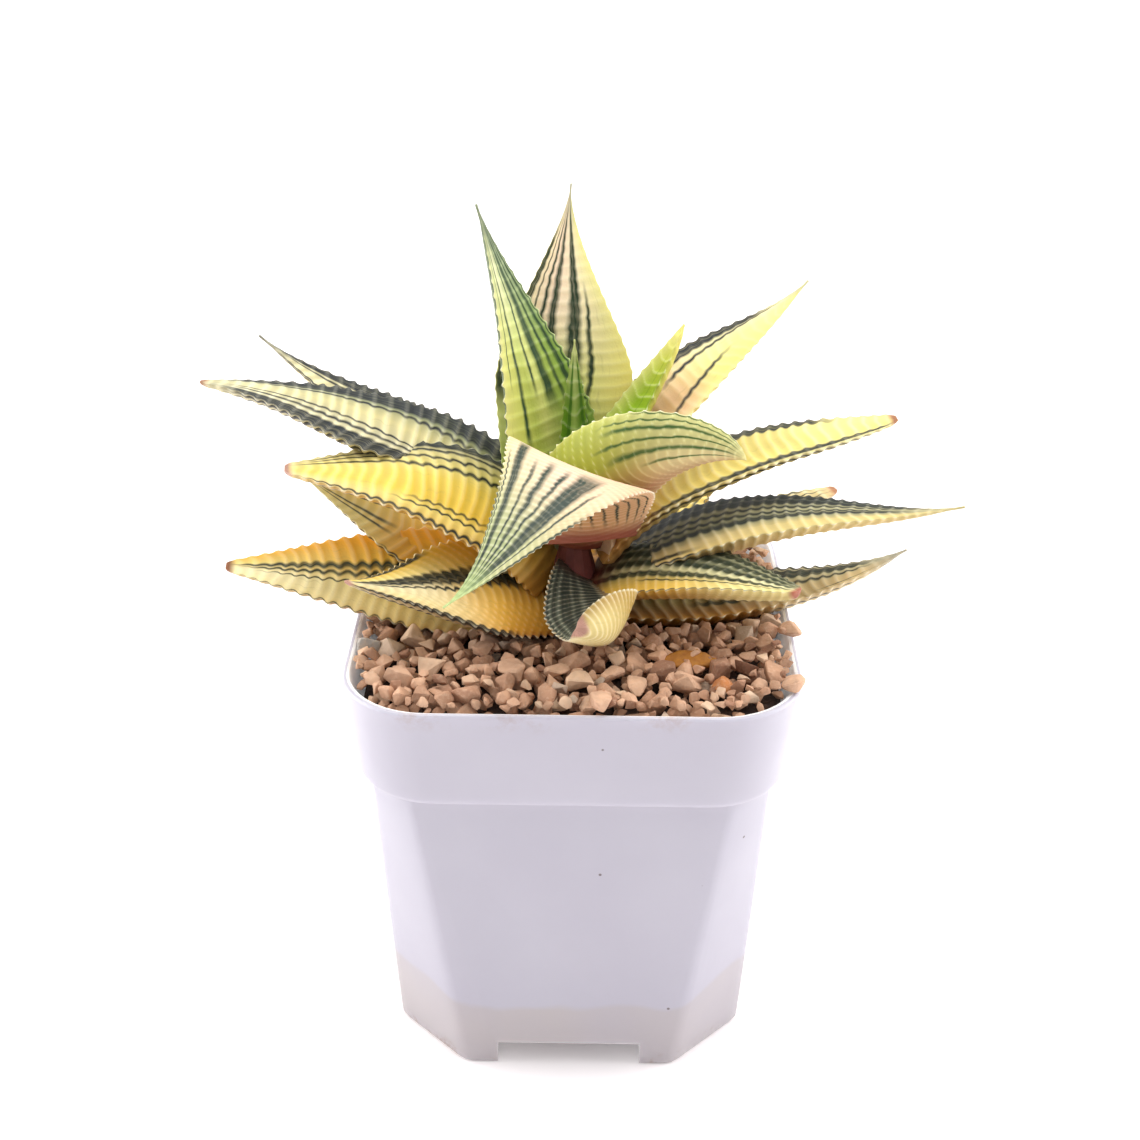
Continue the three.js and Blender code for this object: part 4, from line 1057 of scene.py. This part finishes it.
# Each layer: its number, its height, how closely it packs, how many tries, and how wide a strip
# along the wall it keeps to (0: everywhere). The last one only fills the gap along the wall.
LAYERS = ((0, 69.6, 0.66, 5000, 0), (1, 72.0, 0.66, 6500, 0), (2, 72.2, 0.62, 6000, 4.5))
SCATTER = 33
GRANULE_RADII = (1.1, 1.3, 1.6, 1.9, 2.3, 2.9)
LEAF_GAP = 0.2
LOWEST_GRANULE = 66.5
for layer, level, crowding, tries, strip in LAYERS:
    for _ in range(tries):
        x, y = gravel_random.uniform(-SCATTER, SCATTER), gravel_random.uniform(-SCATTER, SCATTER)
        radius = gravel_random.choice(GRANULE_RADII)
        tint = gravel_random.random()
        squeeze = [gravel_random.uniform(0.7, 1.28) for _ in range(2)]
        lean = gravel_random.uniform(-0.6, 0.6)
        if strip:
            radius *= 0.75
        if not inside_pot(x, y, radius * 0.95) or (strip and inside_pot(x, y, strip)):
            continue
        # The last layer fills gaps in the one before, so the two count as one.
        if any(min(layer, 1) == min(other, 1) and hypot(x - ox, y - oy) < crowding * (radius + r)
               for other, ox, oy, r in laid):
            continue
        # The bed is a little higher to the right and towards the back.
        heap = 0.8 * max(0, x - 22) / 10 + 0.4 * max(0, y) / 30
        top = level + gravel_random.uniform(-0.5, 0.6) + heap * layer
        top = min(top, headroom(x, y, radius * 0.7) - LEAF_GAP - radius * 0.8)
        if top < LOWEST_GRANULE:
            continue
        laid.append((layer, x, y, radius))
        size = (2 * radius * squeeze[0], 2 * radius * squeeze[1], 1.7 * radius)
        turn = Matrix.Rotation(gravel_random.uniform(0, 2 * pi), 3, "Z")
        turn = turn @ Matrix.Rotation(lean, 3, "X")
        granule(gravel_mesh, (x, y, top), size, turn, tint, gravel_random)
gravel = new_piece("gravel_granules", gravel_mesh, clay)
gravel.data.set_sharp_from_angle(angle=CHIPPED_ANGLE)
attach(gravel, "root")
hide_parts("top_dressing")


# ---- Single stones ----
# Larger granules that stand proud of the bed or lie on the rim: five of baked clay, one of
# them rusty, and a grey one of pumice.

GREY_STOPS = [(0, "#8d8782"), (1, "#b5aea6")]
RUSTY_STOPS = [(0, "#a8683c"), (1, "#c08050")]
STONE_TINT = 0.7
# Each stone: its place, size, turn in degrees and its colours.
STONES = {
    "stone_1": ((4.2, -32.2, 73), (4.4, 6.6, 3.6), -12, TAN_STOPS),
    "stone_2": ((34.2, -10.8, 73.2), (4.6, 4.2, 3.2), 70, TAN_STOPS),
    "stone_3": ((33, -26.4, 73), (4.4, 4, 3.2), 25, TAN_STOPS),
    "stone_4": ((-31.8, -15.4, 72.2), (5.6, 4.6, 3.6), 120, GREY_STOPS),
    "stone_5": ((17.3, -24.2, 72.2), (7, 3.4, 3), 20, TAN_STOPS),
    "stone_6": ((22.6, -26.4, 72), (3.8, 6, 3.2), 15, RUSTY_STOPS),
}
for i, (node, (place, size, turn, stops)) in enumerate(STONES.items()):
    stone_mesh = bmesh.new()
    stone_mesh.verts.layers.float.new("tint")
    turned = Matrix.Rotation(radians(turn), 3, "Z")
    granule(stone_mesh, place, size, turned, STONE_TINT, random.Random(i))
    stone = new_piece(f"{node}_granule", stone_mesh, baked_clay(f"{node}_clay", stops))
    stone.data.set_sharp_from_angle(angle=CHIPPED_ANGLE)
    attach(stone, "root")
    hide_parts(node)


# ---- Dry leaf scrap ----
# A curled strip of dead leaf on the gravel, half a millimetre thick, amber with dark streaks. It
# is a flat grid, narrowed towards its ends, arched and crumpled, and thickened last.

SCRAP_PLACE = (17.8, -19.2, 72)
SCRAP_LENGTH, SCRAP_WIDTH, SCRAP_THICK = 9, 3.2, 0.5
SCRAP_ARCH, SCRAP_TILT, SCRAP_CRUMPLE = 0.9, 0.35, 0.35
scrap_mesh = bmesh.new()
bmesh.ops.create_grid(scrap_mesh, x_segments=24, y_segments=8, size=0.5)
for vert in scrap_mesh.verts:
    x, y = vert.co.x * SCRAP_LENGTH, vert.co.y * SCRAP_WIDTH
    share = 2 * vert.co.x
    y *= 1 - 0.7 * share ** 2
    crumple = SCRAP_CRUMPLE * noise.noise(Vector((x, y * 2, 3)))
    vert.co = Vector((x, y, SCRAP_ARCH * (1 - share ** 2) + SCRAP_TILT * y + crumple)) * MM
bmesh.ops.solidify(scrap_mesh, geom=scrap_mesh.faces[:], thickness=SCRAP_THICK * MM)
bmesh.ops.rotate(scrap_mesh, verts=scrap_mesh.verts, matrix=Matrix.Rotation(radians(4), 3, "Z"))
bmesh.ops.translate(scrap_mesh, verts=scrap_mesh.verts, vec=Vector(SCRAP_PLACE) * MM)
bmesh.ops.recalc_face_normals(scrap_mesh, faces=scrap_mesh.faces)
scrap = new_piece("dry_leaf_strip", scrap_mesh, fleshy_skin("dead_leaf", "#c98a2e", "#7a3f14", 0.9))
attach(scrap, "root")
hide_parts("dry_leaf_scrap")
